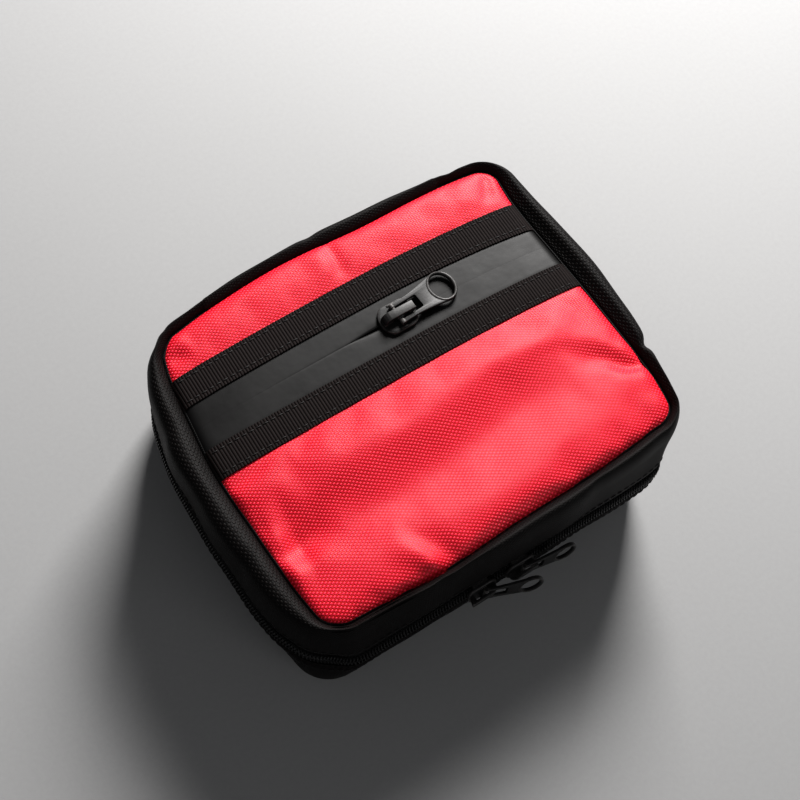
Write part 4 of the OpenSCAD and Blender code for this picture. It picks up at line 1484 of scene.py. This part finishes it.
# The crepe cloths' dark and light colours are painted shade in the troughs and painted highlight on
# the crests.
CREPE = crepe("crepe_bandage", (0.5, 0.33, 0.2), (0.78, 0.6, 0.43), 1.1)
GAUZE = crepe("gauze_cloth", (0.66, 0.66, 0.63), (0.9, 0.9, 0.87), 1.6, 0.2)
SACHET = paper("paper_sachet", (0.82, 0.85, 0.87), stripes=((0.18, 0.42, 0.62), 54.0, 0.16))
STRIP = paper("paper_strip", (0.84, 0.78, 0.68), stripes=((0.75, 0.3, 0.24), 56.0, 0.12))
FILM = paper("film_pack", (0.16, 0.33, 0.58), rough=(0.18, 0.34), depth=0.03, spec=0.5, coat=0.4)
WIPE = paper("foil_sachet", (0.68, 0.76, 0.82), rough=(0.22, 0.36), depth=0.03, metal=0.45,
             stripes=((0.1, 0.45, 0.4), 42.0, 0.2))
SKIN = crepe("skin_tape", (0.62, 0.5, 0.38), (0.8, 0.68, 0.54), 2.4, 0.05)
GOLD = foil()


def group(name, parts, material, slot, node):
    """Several packets in the base as one piece."""
    ob = piece(name, *join(parts), material=material, slot=slot, body="base")
    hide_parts(node)


def divider(side, x):
    """A padded divider with a bound top edge."""
    node, name = f"divider_{side}", f"divider_{side}_pad"
    lo, hi = box_mm(node)
    y = np.linspace(lo[1] + 0.2, hi[1] - 0.2, 60)
    up = np.linspace(0, 1, 14)
    warp = 0.25 * np.sin(y / 19 + x) + 0.12 * np.sin(y / 7.3 + x)
    z = lo[2] + 0.1 + (hi[2] - lo[2] - 0.9) * up
    lean = x + 0.4 + warp[:, None] * up[None, :] ** 1.4
    p = np.stack(np.broadcast_arrays(lean, y[:, None], z[None, :]), axis=-1)
    ob = piece(name, *cloth_solid(p, cross_uv(y, z), 0.8, side=facing(p, 0)), material=LINING,
               slot="lining", body="base")
    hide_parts(node)
    top = np.column_stack([x + warp, y, np.full(len(y), hi[2] - 0.75)])
    sides = 12
    a = np.arange(sides) * TAU / sides
    ring = np.stack([0.78 * np.cos(a), np.zeros(sides), 0.95 * np.sin(a)], 1)
    piece(name + "_binding", top[:, None] + ring[None], capped(len(y), sides),
          cross_uv(y, a * 0.85), BINDING, "binding", "base")


divider("left", -39.0)
divider("right", 21.0)


def roll(node, radius, layers, material, slot):
    """A wound roll along Y: turns show on its ends, and the loose end lies on its side."""
    lo, hi = box_mm(node)
    c, half = (lo + hi) / 2, (hi[1] - lo[1]) / 2
    core, outer, steps = 2.0, radius - 0.5, 16
    r = np.linspace(core, outer, layers * 4 + 1)
    groove = 0.42 * np.abs(np.sin(math.pi * (r - core) / (outer - core) * layers)) ** 0.6
    end = [(a, half - 0.55 + b) for a, b in zip(r, groove)]
    end += [(radius - 0.12, half - 0.45), (radius - 0.02, half - 1.0)]
    flank = [(radius - 0.02 + 0.05 * math.sin(k * 1.7), half - 1.0 - k * (2 * half - 2) / steps)
             for k in range(1, steps)]
    v, f, uv = lathe(end + flank + [(a, -b) for a, b in end[::-1]], 72, "y", ring=True)
    # an open end: the outer turn steps down where the strip stops
    ang = np.mod(np.arctan2(v[:, 2], v[:, 0]) - 1.2, TAU)
    rr = np.hypot(v[:, 0], v[:, 2])
    down = -0.35 * smoothstep(0.0, 0.12, ang) * smoothstep(TAU, 1.0, ang)
    step = np.where(rr > radius - 0.6, down, 0)
    k = (rr + step) / np.maximum(rr, 1e-6)
    v = v * np.stack([k, np.ones_like(k), k], 1)
    ob = piece(node + "_wound", v + c, f, uv, material, slot, "base", smooth=60)
    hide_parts(node)


roll("bandage_roll", 15.5, 14, CREPE, "crepe")
roll("gauze_roll", 14.0, 16, GAUZE, "gauze")

sin, cos = math.sin, math.cos
group("gauze_packets_stack",
      [sachet((-9 + 0.3 * sin(i * 2.1), -28.5 + 0.3 * cos(i * 1.7), 2.3 + 3.6 * i), 53.4, 53.4, 3.6,
              20 + i, yaw=0.5 * sin(i * 2.3)) for i in range(5)],
      SACHET, "paper_sachet", "gauze_packets")
group("plaster_packets_stack",
      [sachet((x + 3, -28.5, 20.6 + 2.6 * i), 18.6, 55.6, 2.6, 40 + i + x, 2.2,
              0.4 * sin(i * 3.1 + x)) for x in (-22, -2) for i in range(4)],
      STRIP, "paper_strip", "plaster_packets")
group("glove_packet_film",
      [sachet((-9, 28.5, 2.3 + 6.5 * i), 53.6, 53.6, 6.5, 60 + i, 3.0) for i in range(2)],
      FILM, "film_pack", "glove_packet")
group("wipe_packets_stack",
      [sachet((-9 + 0.2 * sin(i * 4.1), 28.5, 15.6 + 2.3 * i), 49.4, 41.6, 2.3, 70 + i, 3.0,
              0.6 * sin(i * 1.9)) for i in range(6)],
      WIPE, "foil_sachet", "wipe_packets")


def tape_roll():
    """The adhesive tape, with its turns showing as fine steps on both ends."""
    lo, hi = box_mm("adhesive_tape")
    c = (lo + hi) / 2
    half, r1, r0 = (hi[2] - lo[2]) / 2, (hi[0] - lo[0]) / 2, 9.5
    rr = np.linspace(r0 + 0.05, r1 - 0.25, 40)
    end = [(a, half - 0.1 - 0.12 * (k % 2)) for k, a in enumerate(rr)]
    flank = [(r1 - 0.02, half - 0.35), (r1, 0.0), (r1 - 0.02, 0.35 - half)]
    v, f, uv = lathe(end + flank + [(a, -b) for a, b in end[::-1]], 72, ring=True)
    ob = piece("adhesive_tape_roll", v + c, f, uv, SKIN, "skin_tape", "base", smooth=60)
    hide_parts("adhesive_tape")
    dress(NODES["tape_spool"], SPOOL)


tape_roll()


def foil_pack():
    """A rescue blanket folded into a flat packet: four soft folded layers."""
    lo, hi = box_mm("foil_blanket")
    c, t, edge = (lo + hi) / 2, 6.0, 3.0
    parts = []
    for i in range(4):
        wave = waves(90 + i, 12, (4, 14), 0.4)

        def half(x, y, e, wave=wave):
            near = np.clip(e / edge, 0, 1)
            rounded = np.sqrt(np.clip(1 - (1 - near) ** 2, 0, 1))
            out = (t / 2 - 0.25) * np.clip(rounded, 0.02, 1) + uneven(wave, x, y) * 0.5 * near - 0.1
            return np.minimum(out, t / 2 - 0.01)

        part = slab_grid(47.4, 54.6, half, lambda x, y, e: -half(-x, y, e), 44, 48)
        at = Matrix.Translation((c[0], c[1] - 0.2, lo[2] + 3.05 + 6.2 * i))
        parts.append(moved(part, at @ turn(0.4 * sin(i * 2.0), "Z")))
    group("foil_blanket_folded", parts, GOLD, "gold_foil", "foil_blanket")


foil_pack()


def elastic_loops():
    """Two elastic loops under the pocket backing that hold the tweezers."""
    half = [(9.0, -0.1), (9.0, 3), (8.2, 6), (6.4, 6.9), (0, 7.0)]     # across, and hanging down
    half = [(-a, b) for a, b in half] + half[-2::-1]
    line = resample([(a, BACKING_LOW - b) for a, b in half], 46)
    for tag, x in (("left", -22.0), ("right", 18.0)):
        xs = np.linspace(x - 6, x + 6, 12)
        y, z = line[None, :, 0] + 20, line[None, :, 1]
        p = np.stack(np.broadcast_arrays(xs[:, None], y, z), axis=-1)
        uv = np.stack(np.broadcast_arrays(lengths(line)[None, :], xs[:, None]), axis=-1)
        side = 1 if normals(p)[:, len(line) // 2 - 1, 2].mean() < 0 else -1
        ob = piece(f"tool_loop_{tag}", *cloth_solid(p, uv, 0.7, 0.3, side), material=BINDING,
                   slot="grosgrain", body="lid")
        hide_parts("tool_loops")


elastic_loops()
for name in ("tweezers", "bandage_clip"):
    dress(NODES[name], STEEL)
    bev = NODES[name].modifiers.new("edges", "BEVEL")
    bev.width, bev.segments, bev.limit_method = 0.00015, 2, "ANGLE"


# ---------------------------------------------------------------- stage, light and camera

FLOOR_HALF, AIM = 2.6, Vector((0, 0, 0.04))
# Square lights: place, side, power in watts and colour.
LIGHTS = {
    "key": ((0.50, 0.50, 0.58), 0.34, 18.0, (1.0, 0.985, 0.97)),
    "fill": ((-1.5, -1.0, 1.6), 1.6, 3.4, (0.97, 0.98, 1.0)),
    "front": ((0.5, -1.9, 0.8), 1.1, 6.0, (1.0, 1.0, 1.0)),
}
# The camera: lens in millimetres, way it looks from, turn about its own axis, and place in metres.
LENS, AZIMUTH, ELEVATION, ROLL_DEG = 60.02, -43.22, 66.41, 11.353
CAMERA_AT = Vector((-0.142405, -0.143766, 0.509076))


def make_stage():
    """Plain floor, soft even light from all round, and three square lights."""
    me = bpy.data.meshes.new("floor")
    k = FLOOR_HALF
    me.from_pydata([(-k, -k, 0), (k, -k, 0), (k, k, 0), (-k, k, 0)], [], [(0, 1, 2, 3)])
    ob = link("floor", me)
    ob.data.materials.append(floor_paper())
    scene = bpy.context.scene
    scene.world = bpy.data.worlds.new("studio")
    scene.world.use_nodes = True
    sky = scene.world.node_tree.nodes["Background"].inputs
    sky["Color"].default_value = (0.97, 0.98, 1.0, 1)
    sky["Strength"].default_value = 0.10
    scene.view_settings.view_transform = "Standard"
    scene.view_settings.look = "Medium High Contrast"
    for name, (at, size, power, tint) in LIGHTS.items():
        light = bpy.data.lights.new(name, "AREA")
        light.shape, light.size, light.energy, light.color = "SQUARE", size, power, tint
        ob = link(name, light)
        ob.location = at
        ob.rotation_mode = "QUATERNION"
        ob.rotation_quaternion = (AIM - Vector(at)).to_track_quat("-Z", "Y")


def make_camera():
    """The photograph's camera, as fitted to the corners of the red face."""
    cam = bpy.data.cameras.new("camera")
    ob = link("camera", cam)
    cam.sensor_width, cam.lens = 36.0, LENS
    cam.clip_start, cam.clip_end = 0.01, 20.0
    az, el, r = math.radians(AZIMUTH), math.radians(ELEVATION), math.radians(ROLL_DEG)
    back = Vector((sin(az) * cos(el), -cos(az) * cos(el), sin(el)))
    right = Vector((cos(az), sin(az), 0))
    up = back.cross(right)
    m = Matrix((cos(r) * right + sin(r) * up, -sin(r) * right + cos(r) * up, back))
    m = m.transposed().to_4x4()
    m.translation = CAMERA_AT
    ob.matrix_world = m
    bpy.context.scene.camera = ob


make_stage()
make_camera()
